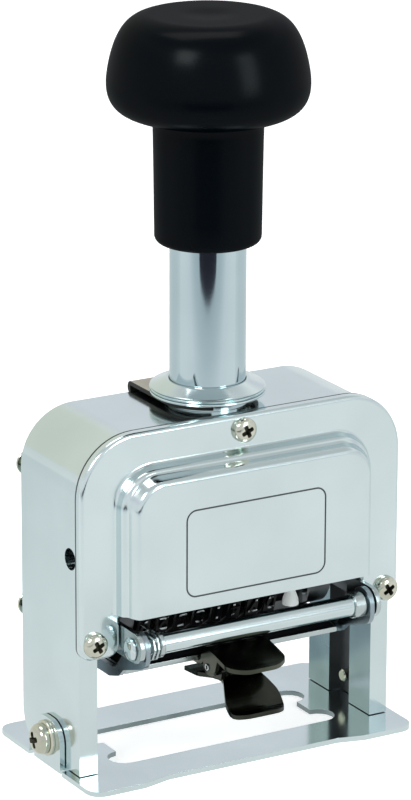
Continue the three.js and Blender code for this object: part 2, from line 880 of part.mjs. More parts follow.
// Threaded collar that guides the plunger tube: a neck through the roof and a grooved rim above
function guideCollar() {
  const bore = tubeRadius + bearingGap;
  const grooveMiddle = collarBottom + collarRimHeight / 2;
  return revolved([
    [bore, roofUnderside],
    [neckRadius, roofUnderside],
    [neckRadius, collarBottom],
    [collarRadius, collarBottom],
    [collarRadius, grooveMiddle - collarGroove],
    [collarGrooveRadius, grooveMiddle - collarGroove / 2],
    [collarGrooveRadius, grooveMiddle + collarGroove / 2],
    [collarRadius, grooveMiddle + collarGroove],
    [collarRadius, collarRimTop - collarGroove / 2],
    [collarRadius - collarGroove / 2, collarRimTop],
    [collarConeRadius, collarRimTop + collarConeHeight],
    [bore, collarRimTop + collarConeHeight],
    [bore, roofUnderside],
  ], roundSteps);
}

// Lock plate: slides under the collar to hold the plunger down, with a lip bent down at the back
function lockPlate() {
  const noseStart = Math.asin(lockPlateHalfWidth / lockPlateNose) - Math.PI / 2;
  const outline = new THREE.Shape();
  outline.moveTo(-lockPlateHalfWidth, lockPlateReach);
  outline.absarc(0, 0, lockPlateNose, -Math.PI - noseStart, noseStart, false);
  outline.lineTo(lockPlateHalfWidth, lockPlateReach);
  outline.closePath();
  const top = lockPlateBottom + lockPlateThickness;
  const plate = slabAlongZ(outline, lockPlateBottom, top, 8);
  const lip = slabAlongY(
    filletedShape([
      [-lockPlateHalfWidth, top],
      [-lockPlateHalfWidth, top - lockLipDrop, lockCornerRadius],
      [lockPlateHalfWidth, top - lockLipDrop, lockCornerRadius],
      [lockPlateHalfWidth, top],
    ]),
    lockPlateReach - lockPlateThickness,
    lockPlateReach,
    3,
  );
  const holeRadius = neckRadius + runningGap;
  const slot = new THREE.Shape();
  slot.absarc(0, 0, holeRadius, 0, Math.PI, false);
  slot.absarc(0, -lockTravel, holeRadius, Math.PI, Math.PI * 2, false);
  return carved([plate, lip], [slabAlongZ(slot, lockPlateBottom - cutOverrun, top + cutOverrun, 9)]);
}

// Spring bridge: the cross bar from wall to wall that the return spring stands on
function springBridge() {
  const half = bridgeWidth / 2;
  const bottom = bridgeTop - bridgeThickness;
  const reach = halfWidth - housingWall;
  const bar = box(-reach, reach, -half, half, bottom, bridgeTop);
  return carved([bar, cylinder(bridgeSeatRadius, bottom, bridgeTop, 24)]);
}

// Rod bracket: an ear that carries one end of the rod, with a flange bent outward behind the cover
function rodBracket() {
  const inner = bracketOuter - bracketSheet;
  const flangeBack = -halfDepth + seatGap + bracketSheet;
  const front = rodY - bracketEyeRadius;
  const earShape = filletedShape([
    [front, bracketRearBottom, bracketEyeRadius * 0.8],
    [flangeBack, bracketRearBottom],
    [flangeBack, bracketRearTop],
    [front, bracketRearTop, bracketEyeRadius * 0.8],
  ]);
  const ear = slabAlongX(earShape, inner, bracketOuter, 3);
  const flange = box(inner, bracketOuter + bracketFlange, -halfDepth + seatGap, flangeBack,
    bracketRearBottom, bracketRearTop);
  const holeRadius = rodJournalRadius + runningGap / 2;
  const hole = cylinderAboutX(holeRadius, inner - cutOverrun, bracketOuter + cutOverrun, 20);
  hole.translate(0, rodY, rodHeight);
  return carved([ear, flange], [hole]);
}

// Pivot rod: turned down at its ends to pass the brackets, and riveted over outside them
function pivotRod() {
  const shoulder = bracketOuter - bracketSheet - bearingGap;
  const seat = bracketOuter + bearingGap / 2;
  const half = [
    [rodRadius, shoulder],
    [rodJournalRadius, shoulder],
    [rodJournalRadius, seat],
    [rivetRadius, seat],
    [rivetRadius, seat + rivetHeight * 0.35],
    [rivetRadius * 0.6, seat + rivetHeight],
    [0, seat + rivetHeight],
  ];
  const mirrored = half.map(([radius, x]) => [radius, -x]).reverse();
  return revolvedAboutX([...mirrored, ...half], 18).translate(0, rodY, rodHeight);
}

function rodRing(outer, width) {
  const bore = rodRadius + bearingGap / 2;
  const inner = outer - width;
  return revolvedAboutX([
    [bore, inner],
    [rodRingRadius, inner],
    [rodRingRadius, outer],
    [bore, outer],
    [bore, inner],
  ], 20).translate(0, rodY, rodHeight);
}

function coilInnerEnd() {
  return coilOuterEnd - springTurns * springPitch - springWire / 2 - runningGap;
}

// Torsion spring: three turns on the rod with a straight leg backward from each end
function torsionSpring() {
  const points = coilPoints(springTurns, springCoilRadius, springPitch).map((point) => {
    const x = coilOuterEnd - point.z;
    return new THREE.Vector3(-x, rodY + point.y, rodHeight + point.x);
  });
  const leg = new THREE.Vector3(0, springLegLength, 0);
  const first = points[0].clone().sub(leg);
  const last = points[points.length - 1].clone().add(leg);
  reportCoil('torsion spring', points, springWire / 2);
  return wire([first, ...points, last], springWire / 2);
}

// Knob: a full round head over a straight sleeve that grips the plunger tube
// Radius of the knob at a share of the height between its widest place and its end
function knobReach(share, [across, along]) {
  return knobRadius * (1 - share ** along) ** (1 / across);
}

// The same curve the other way: the share of the height at which the knob has a radius
function knobDrop(radius, [across, along]) {
  return (1 - (radius / knobRadius) ** across) ** (1 / along);
}

function knob() {
  const profile = [[0, tubeTop + seatGap], [tubeRadius + bearingGap, tubeTop + seatGap]];
  profile.push([tubeRadius + bearingGap, sleeveBottom]);
  const edgeSteps = 3;
  for (let i = 0; i <= edgeSteps; i += 1) {
    const angle = (i / edgeSteps) * (Math.PI / 2);
    profile.push([
      sleeveRadius - sleeveEdgeRadius * (1 - Math.sin(angle)),
      sleeveBottom + sleeveEdgeRadius * (1 - Math.cos(angle)),
    ]);
  }
  const underSteps = 7;
  const skirtHeight = knobWidestHeight - sleeveTop;
  profile.push([sleeveTopRadius, knobWidestHeight - skirtHeight * knobDrop(sleeveTopRadius, knobSkirtShares)]);
  for (let i = 1; i <= underSteps; i += 1) {
    const fall = 1 - i / underSteps;
    profile.push([knobReach(fall, knobSkirtShares), knobWidestHeight - skirtHeight * fall]);
  }
  const overSteps = 8;
  const crownHeight = knobTop - knobWidestHeight;
  for (let i = 1; i < overSteps; i += 1) {
    const rise = Math.sin((i / overSteps) * (Math.PI / 2));
    profile.push([knobReach(rise, knobCrownShares), knobWidestHeight + crownHeight * rise]);
  }
  profile.push([knobDimpleRadius * 0.5, knobTop - knobDimpleDepth * 0.6]);
  profile.push([0, knobTop - knobDimpleDepth]);
  return revolved(profile, 34);
}

// Plunger tube: open below for the return spring, closed near its top
function plungerTube() {
  const crown = tubeTop - carriageSheet;
  return revolved([
    [tubeBore, carriageRoofBottom + seatGap],
    [tubeRadius, carriageRoofBottom + seatGap],
    [tubeRadius, tubeTop],
    [0, tubeTop],
    [0, crown],
    [tubeBore, crown],
    [tubeBore, carriageRoofBottom + seatGap],
  ], roundSteps);
}

// Carriage roof: the plate that joins the tube to the two side plates
function carriageRoof() {
  const reach = carriageHalfWidth - carriageSheet - seatGap;
  const inner = reach - carriageSheet;
  const foot = carriageTop - carriageFlange;
  const profile = filletedShape([
    [-reach, foot],
    [-inner, foot],
    [-inner, carriageRoofBottom - carriageShoulder / 2],
    [carriageShoulder / 2 - inner, carriageRoofBottom],
    [inner - carriageShoulder / 2, carriageRoofBottom],
    [inner, carriageRoofBottom - carriageShoulder / 2],
    [inner, foot],
    [reach, foot],
    [reach, carriageTop - carriageShoulder],
    [reach - carriageShoulder, carriageTop],
    [carriageShoulder - reach, carriageTop],
    [-reach, carriageTop - carriageShoulder],
  ]);
  const plate = slabAlongY(profile, -carriageHalfDepth, carriageHalfDepth);
  const socketRadius = tubeRadius + seatGap / 2;
  const socketBottom = carriageRoofBottom - cutOverrun;
  const socket = cylinder(socketRadius, socketBottom, carriageTop + cutOverrun, roundSteps);
  const notchSide = bridgeWidth / 2 + runningGap;
  const notchReach = reach + cutOverrun;
  const notch = box(-notchReach, notchReach, -notchSide, notchSide, foot - cutOverrun, carriageRoofBottom);
  return carved([plate], [socket, notch]);
}

// Carriage side plate: long slot for the spring bridge, hole for the wheel axle
function carriageSide() {
  const inner = carriageHalfWidth - carriageSheet;
  const outline = filletedShape([
    [-carriageHalfDepth, carriageBottom, carriageCornerRadius],
    [carriageHalfDepth, carriageBottom, carriageCornerRadius],
    [carriageHalfDepth, carriageRoofBottom],
    [-carriageHalfDepth, carriageRoofBottom],
  ]);
  const plate = slabAlongX(outline, inner, carriageHalfWidth, 4);
  const left = inner - cutOverrun;
  const right = carriageHalfWidth + cutOverrun;
  const slotSide = bridgeWidth / 2 + runningGap;
  const slotBottom = bridgeTop - bridgeThickness - runningGap;
  const slot = box(left, right, -slotSide, slotSide, slotBottom, carriageRoofBottom + cutOverrun);
  const hole = cylinderAboutX(axleJournalRadius + bearingGap / 2, left, right, 20);
  hole.translate(0, wheelAxisY, wheelAxisHeight);
  return carved([plate], [slot, hole]);
}

// Guide shoe: runs in the groove between two posts, forked around the spring bridge
function guideShoe() {
  const half = slotHalf - runningGap;
  const left = carriageHalfWidth;
  const block = box(left, left + guideWidth, -half, half, guideBottom, guideTop);
  const slotSide = bridgeWidth / 2 + runningGap;
  const slotBottom = bridgeTop - bridgeThickness - runningGap;
  const fork = box(left - cutOverrun, left + guideWidth + cutOverrun, -slotSide, slotSide,
    slotBottom, guideTop + cutOverrun);
  return carved([block], [fork]);
}

// Wheel axle: necked down at its ends, with a thin riveted head outside each side plate
function wheelAxle() {
  const shoulder = carriageHalfWidth - carriageSheet - bearingGap;
  const seat = carriageHalfWidth + bearingGap / 3;
  const half = [
    [axleRadius, shoulder],
    [axleJournalRadius, shoulder],
    [axleJournalRadius, seat],
    [axleHeadRadius * 0.8, seat],
    [axleHeadRadius * 0.8, seat + axleHeadThickness],
    [0, seat + axleHeadThickness],
  ];
  const mirrored = half.map(([radius, x]) => [radius, -x]).reverse();
  return revolvedAboutX([...mirrored, ...half]).translate(0, wheelAxisY, wheelAxisHeight);
}

function axleSpacer(left, right) {
  const bore = axleRadius + bearingGap;
  return revolvedAboutX([
    [bore, left],
    [spacerRadius, left],
    [spacerRadius, right],
    [bore, right],
    [bore, left],
  ]).translate(0, wheelAxisY, wheelAxisHeight);
}

// Number wheel, drawn about the X axis: a ten-sided drum with a raised block per numeral
// on its left, and a ten-toothed ratchet on its right
function numberWheel() {
  const drumRight = drumWidth;
  const bore = axleRadius + bearingGap;
  const step = (Math.PI * 2) / wheelFaces;
  const drumCorners = [];
  for (let i = 0; i < wheelFaces; i += 1) {
    const angle = (i + 0.5) * step;
    const reach = wheelInradius / Math.cos(step / 2);
    drumCorners.push(new THREE.Vector2(reach * Math.sin(angle), -reach * Math.cos(angle)));
  }
  const drum = slabAlongX(new THREE.Shape(drumCorners), 0, drumRight);
  const ratchetCorners = [];
  for (let i = 0; i < wheelFaces; i += 1) {
    const root = i * step;
    const tip = (i + 0.12) * step;
    const low = ratchetRadius - ratchetToothDepth;
    ratchetCorners.push(new THREE.Vector2(low * Math.sin(root), -low * Math.cos(root)));
    ratchetCorners.push(new THREE.Vector2(ratchetRadius * Math.sin(tip), -ratchetRadius * Math.cos(tip)));
  }
  const ratchetLeft = drumRight - ratchetWidth / 2;
  const ratchet = slabAlongX(new THREE.Shape(ratchetCorners), ratchetLeft, drumRight + ratchetWidth);
  const numerals = [];
  for (let i = 0; i < wheelFaces; i += 1) {
    const margin = (drumWidth - numeralWidth) / 2;
    const block = box(margin, margin + numeralWidth, -numeralLength / 2, numeralLength / 2,
      -wheelRadius, -wheelInradius + numeralRise);
    numerals.push(block.rotateX(i * step));
  }
  const boreEnd = drumWidth + ratchetWidth + cutOverrun;
  return carved([drum, ratchet, ...numerals], [cylinderAboutX(bore, -cutOverrun, boreEnd, 14)]);
}

function wheelLeft(i) {
  return wheelRowLeft + i * wheelPitch;
}

// Detent comb: a bar behind the wheels with a spring finger into each ratchet
function detentComb() {
  const bottom = wheelAxisHeight - detentBarHeight / 2;
  const top = wheelAxisHeight + detentBarHeight / 2;
  const inner = carriageHalfWidth - carriageSheet - seatGap;
  const front = detentBarY - detentBarThickness;
  const bars = [box(-inner, inner, front, detentBarY, bottom, top)];
  for (const side of [-1, 1]) {
    const lugLeft = side < 0 ? -inner : inner - carriageSheet;
    bars.push(box(lugLeft, lugLeft + carriageSheet, wheelAxisY + wheelRadius - carriageSheet,
      detentBarY, bottom, top));
  }
  const fingerTip = wheelAxisY + ratchetRadius + runningGap;
  for (let i = 0; i < wheelCount; i += 1) {
    const middle = wheelLeft(i) + drumWidth + (ratchetWidth + wheelGap) / 2;
    const fingerShape = filletedShape([
      [fingerTip, wheelAxisHeight - detentFingerWidth],
      [front + detentBarThickness / 2, bottom],
      [front + detentBarThickness / 2, top],
      [fingerTip, wheelAxisHeight + detentFingerWidth],
    ]);
    bars.push(slabAlongX(fingerShape, middle - detentFingerWidth / 2, middle + detentFingerWidth / 2));
  }
  return carved(bars);
}

// Drive arm: swings on the axle beside the last wheel and carries the feed pawl
function driveArm() {
  const left = driveArmLeft;
  const right = left + driveArmThickness;
  const tail = wheelAxisY - driveArmReach;
  const outline = filletedShape([
    [tail - pawlRadius * 0.4, wheelAxisHeight - pawlHeight, driveArmCorner],
    [wheelAxisY + driveArmHub, wheelAxisHeight - driveArmHub, driveArmHub * 0.9],
    [wheelAxisY + driveArmHub, wheelAxisHeight + driveArmHub, driveArmHub * 0.9],
    [wheelAxisY - driveArmHub, wheelAxisHeight + driveArmHub * 0.8, driveArmCorner],
    [tail - pawlRadius * 0.4, wheelAxisHeight - pawlHeight * 0.4, driveArmCorner],
  ]);
  const bore = cylinderAboutX(axleRadius + bearingGap, left - cutOverrun, right + cutOverrun, 24);
  bore.translate(0, wheelAxisY, wheelAxisHeight);
  return carved([slabAlongX(outline, left, right, 3)], [bore]);
}

function feedPawl() {
  const nibTop = pawlHeight + pawlNibHeight;
  const cone = revolved([
    [0, 0],
    [pawlRadius, 0],
    [pawlRadius * 0.95, pawlHeight * 0.3],
    [pawlNibRadius, pawlHeight],
    [pawlNibRadius, nibTop],
    [0, nibTop],
  ], 16);
  const x = driveArmLeft - seatGap - pawlRadius;
  return cone.translate(x, wheelAxisY - driveArmReach + pawlRadius * 0.5, wheelAxisHeight - pawlHeight);
}

// Ink arm: one stamped yoke, two arms that hang on the rod, floor flanges and a cross strip behind
function inkArm() {
  const eye = armEyeRadius;
  const armShape = filletedShape([
    [rodY - eye, rodHeight + eye, eye * 0.95],
    [rodY - eye, rodHeight - eye, eye * 0.9],
    [armShinY, armShinHeight, armSheet],
    [armFront, trayBottom, armSheet],
    [armHeelY, armBottom, eye / 2],
    [armRear, armBottom],
    [armRear, trayRimTop, eye / 4],
    [armFront + eye / 2, trayRimTop, eye / 2],
    [rodY + eye, rodHeight, eye / 2],
    [rodY + eye, rodHeight + eye, eye * 0.95],
  ]);
  const floorTop = armBottom + armSheet;
  const joined = [];
  const cuts = [];
  for (const side of [-1, 1]) {
    const left = side < 0 ? -armOuter : armInner;
    joined.push(slabAlongX(armShape, left, left + armSheet, 3));
    const flangeLeft = side < 0 ? -armOuter : armOuter - armFloorWidth;
    joined.push(box(flangeLeft, flangeLeft + armFloorWidth, armHeelY, armRear, armBottom, floorTop));
  }
  const lipFront = armRear - armSheet;
  joined.push(box(-armOuter, armOuter, armRear - armFloorWidth, armRear, armBottom, floorTop));
  joined.push(box(-armOuter, armOuter, lipFront, armRear, armBottom, trayRimTop));
  const eyeHole = cylinderAboutX(rodRadius + bearingGap, -armOuter - cutOverrun, armOuter + cutOverrun, 24);
  cuts.push(eyeHole.translate(0, rodY, rodHeight));
  return carved(joined, cuts);
}

// Pad tray: a shallow pan that slides out between the arms
function padTray() {
  const panOutline = rectangle(-trayHalfWidth, trayHalfWidth, armFront, trayRear, trayRim);
  const pan = slabAlongZ(panOutline, trayBottom, trayRimTop, 2);
  const innerHalf = trayHalfWidth - trayRim;
  const inside = slabAlongZ(
    rectangle(-innerHalf, innerHalf, armFront + trayRim, trayRear - trayRim, trayRim / 2),
    trayBottom + trayFloor,
    trayRimTop + cutOverrun,
    2,
  );
  return carved([pan], [inside]);
}

// Ink pad: a felt block with a crowned top, standing a little above the rim
function inkPad() {
  const left = trayRim + padGap - trayHalfWidth;
  const front = armFront + trayRim + padGap;
  const back = trayRear - trayRim - padGap;
  const bottom = trayBottom + trayFloor + padGap;
  const middle = (front + back) / 2;
  const half = (back - front) / 2;
  const ring = (share, z) => {
    const x = -left - (1 - share) * half;
    const y = half * share;
    return [[-x, middle - y], [x, middle - y], [x, middle + y], [-x, middle + y]]
      .map(([px, py]) => new THREE.Vector3(px, py, z));
  };
  const shoulder = padTop - padCrown;
  return lofted([
    ring(1, bottom),
    ring(1, shoulder - padCrown),
    ring(0.93, shoulder),
    ring(0.7, padTop - padCrown * 0.2),
    ring(0.35, padTop),
  ]);
}

// Upper blade: seated under the tray, it rises in front of the rim and runs forward under the rod
function upperBlade() {
  const root = armFront + 3 * bladeSheet;
  const low = trayBottom - bladeSheet * 0.6;
  const riser = armFront - runningGap * 2 - bladeSheet / 2;
  const strip = stripShape([
    [root, low],
    [(root + armFront) / 2, low],
    [armFront + bladeSheet * 0.1, low - bladeSheet * 0.1],
    [riser - bladeSheet * 0.1, low + bladeSheet * 0.8],
    [riser - bladeSheet * 0.3, (low + upperBladeRise) / 2],
    [riser - bladeSheet * 0.4, upperBladeRise - bladeSheet * 1.1],
    [riser - bladeSheet * 1.6, upperBladeRise],
    [upperBladeBend, upperBladeRise - bladeSheet * 0.5],
    [upperBladeShoulder, upperBladeTipHeight + bladeSheet * 0.4],
    [upperBladeTip, upperBladeTipHeight],
  ], bladeSheet, 22);
  const left = clipCentre - upperEarHalf;
  const right = clipCentre + upperEarHalf;
  const cornerRadius = 3 * bladeSheet;
  const plan = slabAlongZ(
    filletedShape([
      [left, root + cutOverrun],
      [right, root + cutOverrun],
      [right, upperBladeShoulder, cornerRadius],
      [right / 2, upperBladeTip, cornerRadius * 2],
      [left / 2 - bladeSheet, upperBladeTip, cornerRadius * 2],
      [left, upperBladeShoulder, cornerRadius],
    ]),
    clipPinHeight - upperEarHalf,
    rodHeight,
    3,
  );
  const blade = overlapOf(slabAlongX(strip, left - cutOverrun, right + cutOverrun), plan);
  const earHalf = clipPinRadius + bladeSheet;
  const earShape = filletedShape([
    [clipPinY - earHalf, clipPinHeight - earHalf, earHalf * 0.8],
    [clipPinY + earHalf, clipPinHeight - earHalf, earHalf * 0.8],
    [riser - bladeSheet * 0.6, upperBladeRise - bladeSheet * 1.5],
    [riser - bladeSheet * 1.6, upperBladeRise],
    [upperBladeBend, upperBladeRise - bladeSheet * 0.5],
    [clipEarFront, upperBladeRise - bladeSheet],
    [clipEarFront + bladeSheet, clipPinHeight, bladeSheet],
  ]);
  const earLefts = [left, right - bladeSheet];
  const ears = earLefts.map((x) => slabAlongX(earShape, x, x + bladeSheet, 2));
  const hole = cylinderAboutX(clipPinRadius + bearingGap / 2, left - cutOverrun, right + cutOverrun, 12);
  return carved([blade, ...ears], [hole.translate(0, clipPinY, clipPinHeight)]);
}

function clipPin() {
  const reach = upperEarHalf + runningGap;
  const pin = cylinderAboutX(clipPinRadius, clipCentre - reach, clipCentre + reach, 12);
  return pin.translate(0, clipPinY, clipPinHeight);
}

// Clip lever: a thumb blade that curls down and forward, with an ear on each side for the pin
function clipLever() {
  const low = clipPinHeight - clipSpringRadius - clipSpringWire / 2 - runningGap - bladeSheet / 2;
  const strip = stripShape([
    [clipTailRear, low + bladeSheet * 0.2],
    [clipPinY + bladeSheet, low],
    [lowerNeckY, low - bladeSheet * 0.4],
    [(lowerNeckY + lowerFlareY) / 2, low - 2 * bladeSheet],
    [lowerFlareY - bladeSheet, lowerBladeTipHeight + bladeSheet * 1.2],
    [lowerFlareY - bladeSheet * 3, lowerBladeTipHeight],
    [lowerBladeTip, lowerBladeTipHeight + bladeSheet * 0.4],
  ], bladeSheet, 18);
  const left = lowerBladeLeft;
  const right = lowerBladeRight;
  const tailLeft = clipCentre - clipTailHalf;
  const tailRight = clipCentre + clipTailHalf;
  const earLeft = clipCentre - clipEarHalf;
  const earRight = clipCentre + clipEarHalf;
  const cornerRadius = 4.4 * bladeSheet;
  const plan = slabAlongZ(
    filletedShape([
      [tailLeft, clipTailRear + cutOverrun],
      [tailRight, clipTailRear + cutOverrun],
      [tailRight - bladeSheet, clipPinY + 2.4 * bladeSheet, 2 * bladeSheet],
      [earRight, clipPinY, bladeSheet],
      [lowerNeckRight, lowerNeckY, 2 * bladeSheet],
      [right, lowerFlareY, 3 * bladeSheet],
      [right, lowerBladeTip, cornerRadius],
      [left, lowerBladeTip, cornerRadius],
      [left, lowerFlareY, 3 * bladeSheet],
      [lowerNeckLeft, lowerNeckY, 2 * bladeSheet],
      [earLeft, clipPinY, bladeSheet],
      [tailLeft + bladeSheet, clipPinY + 2.4 * bladeSheet, 2 * bladeSheet],
    ]),
    0,
    clipPinHeight + cutOverrun,
    4,
  );
  const blade = overlapOf(slabAlongX(strip, tailLeft - cutOverrun, tailRight + cutOverrun), plan);
  const earHalf = clipPinRadius + bladeSheet;
  const earShape = filletedShape([
    [clipPinY + earHalf, low - bladeSheet * 0.1],
    [clipPinY + earHalf, clipPinHeight + earHalf * 0.6, earHalf * 0.7],
    [clipPinY - earHalf, clipPinHeight + earHalf * 0.6, earHalf * 0.5],
    [clipEarFront, clipEarHeight, bladeSheet * 0.6],
    [clipEarFront + bladeSheet * 0.6, low + bladeSheet * 0.1, bladeSheet * 0.4],
    [clipPinY - earHalf, low - bladeSheet * 0.1],
  ]);
  const earLefts = [earLeft, earRight - bladeSheet];
  const ears = earLefts.map((x) => slabAlongX(earShape, x, x + bladeSheet, 2));
  const web = box(earLeft, earRight, clipPinY - earHalf * 0.8, clipPinY + earHalf * 0.8,
    low - bladeSheet * 0.4, low + bladeSheet * 0.4);
  const hole = cylinderAboutX(clipPinRadius + bearingGap, earLeft - cutOverrun, earRight + cutOverrun, 12);
  return carved([blade, web, ...ears], [hole.translate(0, clipPinY, clipPinHeight)]);
}

// Clip spring: a small torsion spring on the pin that keeps the two blades apart
function clipSpring() {
  const start = clipCentre - clipEarHalf + bladeSheet + runningGap + clipSpringWire / 2;
  const points = coilPoints(clipSpringTurns, clipSpringRadius, clipSpringPitch).map(
    (point) => new THREE.Vector3(start + point.z, clipPinY + point.y, clipPinHeight + point.x),
  );
  reportCoil('clip spring', points, clipSpringWire / 2);
  return wire(points, clipSpringWire / 2);
}

// Return spring: stands on the bridge and pushes the closed end of the tube up
function returnSpring() {
  const bottom = bridgeTop + seatGap + returnWire / 2;
  const top = tubeTop - carriageSheet - seatGap - returnWire / 2;
  const pitch = (top - bottom) / returnTurns;
  const points = coilPoints(returnTurns, returnCoilRadius, pitch);
  reportCoil('return spring', points, returnWire / 2);
  return wire(points, returnWire / 2).translate(0, 0, bottom);
}

// Selector lever: a tapered pointer on the rear cover with a finger knob at its end
function selectorLever() {
  const front = halfDepth + rearSheet + runningGap;
  const back = front + selectorSheet;
  const shape = new THREE.Shape();
  const tip = -selectorLength;
  shape.absarc(0, 0, selectorHubRadius, Math.PI * 0.95, Math.PI * 0.05, true);
  shape.absarc(0, tip, selectorTipRadius, 0, -Math.PI, true);
  shape.closePath();
  const arm = slabAlongY(shape, front, back, 6);
  const button = revolved([
    [0, 0],
    [selectorKnobRadius, 0],
    [selectorKnobRadius, selectorKnobHeight * 0.8],
    [selectorKnobRadius * 0.7, selectorKnobHeight],
    [0, selectorKnobHeight],
  ], 16);
  button.rotateX(-Math.PI / 2).translate(0, back - seatGap / 2, tip);
  const hole = cylinderAboutY(screwRadius + bearingGap, front - cutOverrun, back + cutOverrun, 16);
  const hub = cylinderAboutY(selectorHubRadius * 0.75, back - seatGap / 2, back + selectorSheet / 2, 20);
  const hubHole = cylinderAboutY(screwRadius + bearingGap, front - cutOverrun, back + selectorSheet, 16);
  return carved([arm, button, hub], [hole, hubHole]);
}

// Assembly
const machine = new THREE.Group();
const frame = new THREE.Group();
const plunger = new THREE.Group();
const inkGroup = new THREE.Group();
const padGroup = new THREE.Group();
machine.add(frame, plunger, inkGroup);
inkGroup.add(padGroup);

function addScrew(group, name, geometry, place, turn) {
  const mesh = piece(name, geometry, 'nickel');
  mesh.position.set(...place);
  mesh.rotation.set(...turn);
  group.add(mesh);
}

frame.add(piece('base_plate', basePlate(), 'chrome'));
frame.add(piece('housing_shell', housingShell(), 'chrome'));
frame.add(piece('front_cover', frontCover(), 'chrome'));
frame.add(piece('rear_cover', rearCover(), 'chrome'));
frame.add(piece('guide_collar', guideCollar(), 'chrome'));
frame.add(piece('lock_plate', lockPlate(), 'lockSteel'));
frame.add(piece('spring_bridge', springBridge(), 'brightSteel'));

const coverScrewLength = coverStandoff + topScrewLength / 2;
const coverScrew = panScrew(screwHeadRadius, screwHeadHeight, screwRadius, coverScrewLength);
const topScrew = panScrew(screwHeadRadius, screwHeadHeight, screwRadius, topScrewLength / 2);
const towardFront = [Math.PI / 2, 0, 0];
const towardBack = [-Math.PI / 2, 0, 0];
frontScrewPlaces().forEach(([x, z], i) => {
  const name = ['cover_screw_left', 'cover_screw_right', 'cover_screw_top'][i];
  addScrew(frame, name, i < 2 ? coverScrew : topScrew, [x, coverFront, z], towardFront);
});
const rearScrew = panScrew(screwHeadRadius, screwHeadHeight, screwRadius, rearSheet + topScrewLength / 2);
const rearTopScrew = panScrew(screwHeadRadius, screwHeadHeight, screwRadius, rearSheet);
rearScrewPlaces().forEach(([x, z], i) => {
  const screw = i < 2 ? rearScrew : rearTopScrew;
  addScrew(frame, `rear_screw_${i + 1}`, screw, [x, halfDepth + rearSheet, z], towardBack);
});

const footWasher = revolved([
  [footScrewRadius + bearingGap, 0],
  [footWasherRadius, 0],
  [footWasherRadius, footWasherThickness * 0.7],
  [footWasherRadius - footWasherThickness * 0.3, footWasherThickness],
  [footScrewRadius + bearingGap, footWasherThickness],
  [footScrewRadius + bearingGap, 0],
], 20);
const footScrew = panScrew(footScrewHeadRadius, footScrewHeadHeight, footScrewRadius, footScrewLength);
for (const [label, side] of [['left', -1], ['right', 1]]) {
  const turn = [0, side * Math.PI / 2, 0];
  addScrew(frame, `foot_washer_${label}`, footWasher, [side * earOuter, earOffsetY, footScrewHeight], turn);
  const seat = side * (earOuter + footWasherThickness);
  addScrew(frame, `foot_screw_${label}`, footScrew, [seat, earOffsetY, footScrewHeight], turn);
  const bracket = rodBracket();
  frame.add(piece(`rod_bracket_${label}`, side < 0 ? mirroredX(bracket) : bracket, 'brightSteel'));
}
frame.add(piece('torsion_spring', torsionSpring(), 'brightSteel'));
frame.add(piece('rod_ring_left', mirroredX(rodRing(coilInnerEnd(), rodRingWidth)), 'brightSteel'));
frame.add(piece('rod_ring_right', rodRing(armInner - runningGap, rodSleeveWidth), 'brightSteel'));
frame.add(piece('pivot_rod', pivotRod(), 'chrome'));

const selector = piece('selector_lever', selectorLever(), 'brightSteel');
selector.position.set(selectorPivotX, 0, selectorPivotHeight);
frame.add(selector);
const selectorScrewLength = rearSheet + runningGap + selectorSheet * 1.5;
const selectorScrew = panScrew(screwHeadRadius, screwHeadHeight, screwRadius, selectorScrewLength);
const selectorScrewSeat = halfDepth + rearSheet + runningGap + selectorSheet * 1.5 + runningGap;
const selectorScrewPlace = [selectorPivotX, selectorScrewSeat, selectorPivotHeight];
addScrew(frame, 'selector_screw', selectorScrew, selectorScrewPlace, towardBack);

plunger.add(piece('knob', knob(), 'blackPlastic'));
plunger.add(piece('plunger_tube', plungerTube(), 'chrome'));
plunger.add(piece('carriage_roof', carriageRoof(), 'brightSteel'));
for (const [label, side] of [['left', -1], ['right', 1]]) {
  const plate = carriageSide();
  plunger.add(piece(`carriage_side_${label}`, side < 0 ? mirroredX(plate) : plate, 'brightSteel'));
  const shoe = guideShoe();
  plunger.add(piece(`guide_shoe_${label}`, side < 0 ? mirroredX(shoe) : shoe, 'brightSteel'));
}
plunger.add(piece('wheel_axle', wheelAxle(), 'brightSteel'));
const axleEnd = carriageHalfWidth - carriageSheet - seatGap;
plunger.add(piece('axle_spacer_left', axleSpacer(-axleEnd, wheelRowLeft - seatGap), 'brightSteel'));
plunger.add(piece('axle_spacer_middle', axleSpacer(wheelRowRight, driveArmLeft - seatGap), 'brightSteel'));
plunger.add(piece('axle_spacer_right',
  axleSpacer(driveArmLeft + driveArmThickness + seatGap, axleEnd), 'brightSteel'));
plunger.add(piece('detent_comb', detentComb(), 'darkSteel'));
const wheelGeometry = numberWheel();
for (let i = 0; i < wheelCount; i += 1) {
  const wheel = piece(`number_wheel_${i + 1}`, wheelGeometry.clone(), 'wheelEnamel');
  wheel.position.set(wheelLeft(i), wheelAxisY, wheelAxisHeight);
  plunger.add(wheel);
}
plunger.add(piece('drive_arm', driveArm(), 'brightSteel'));
plunger.add(piece('feed_pawl', feedPawl(), 'nylon'));
frame.add(piece('return_spring', returnSpring(), 'brightSteel'));

inkGroup.add(piece('ink_arm', inkArm(), 'brightSteel'));
padGroup.add(piece('pad_tray', padTray(), 'brightSteel'));
padGroup.add(piece('ink_pad', inkPad(), 'felt'));
padGroup.add(piece('upper_blade', upperBlade(), 'darkSteel'));
padGroup.add(piece('clip_pin', clipPin(), 'brightSteel'));
padGroup.add(piece('clip_spring', clipSpring(), 'brightSteel'));
padGroup.add(piece('clip_lever', clipLever(), 'darkSteel'));

machine.position.y = -middleY;

export default machine;
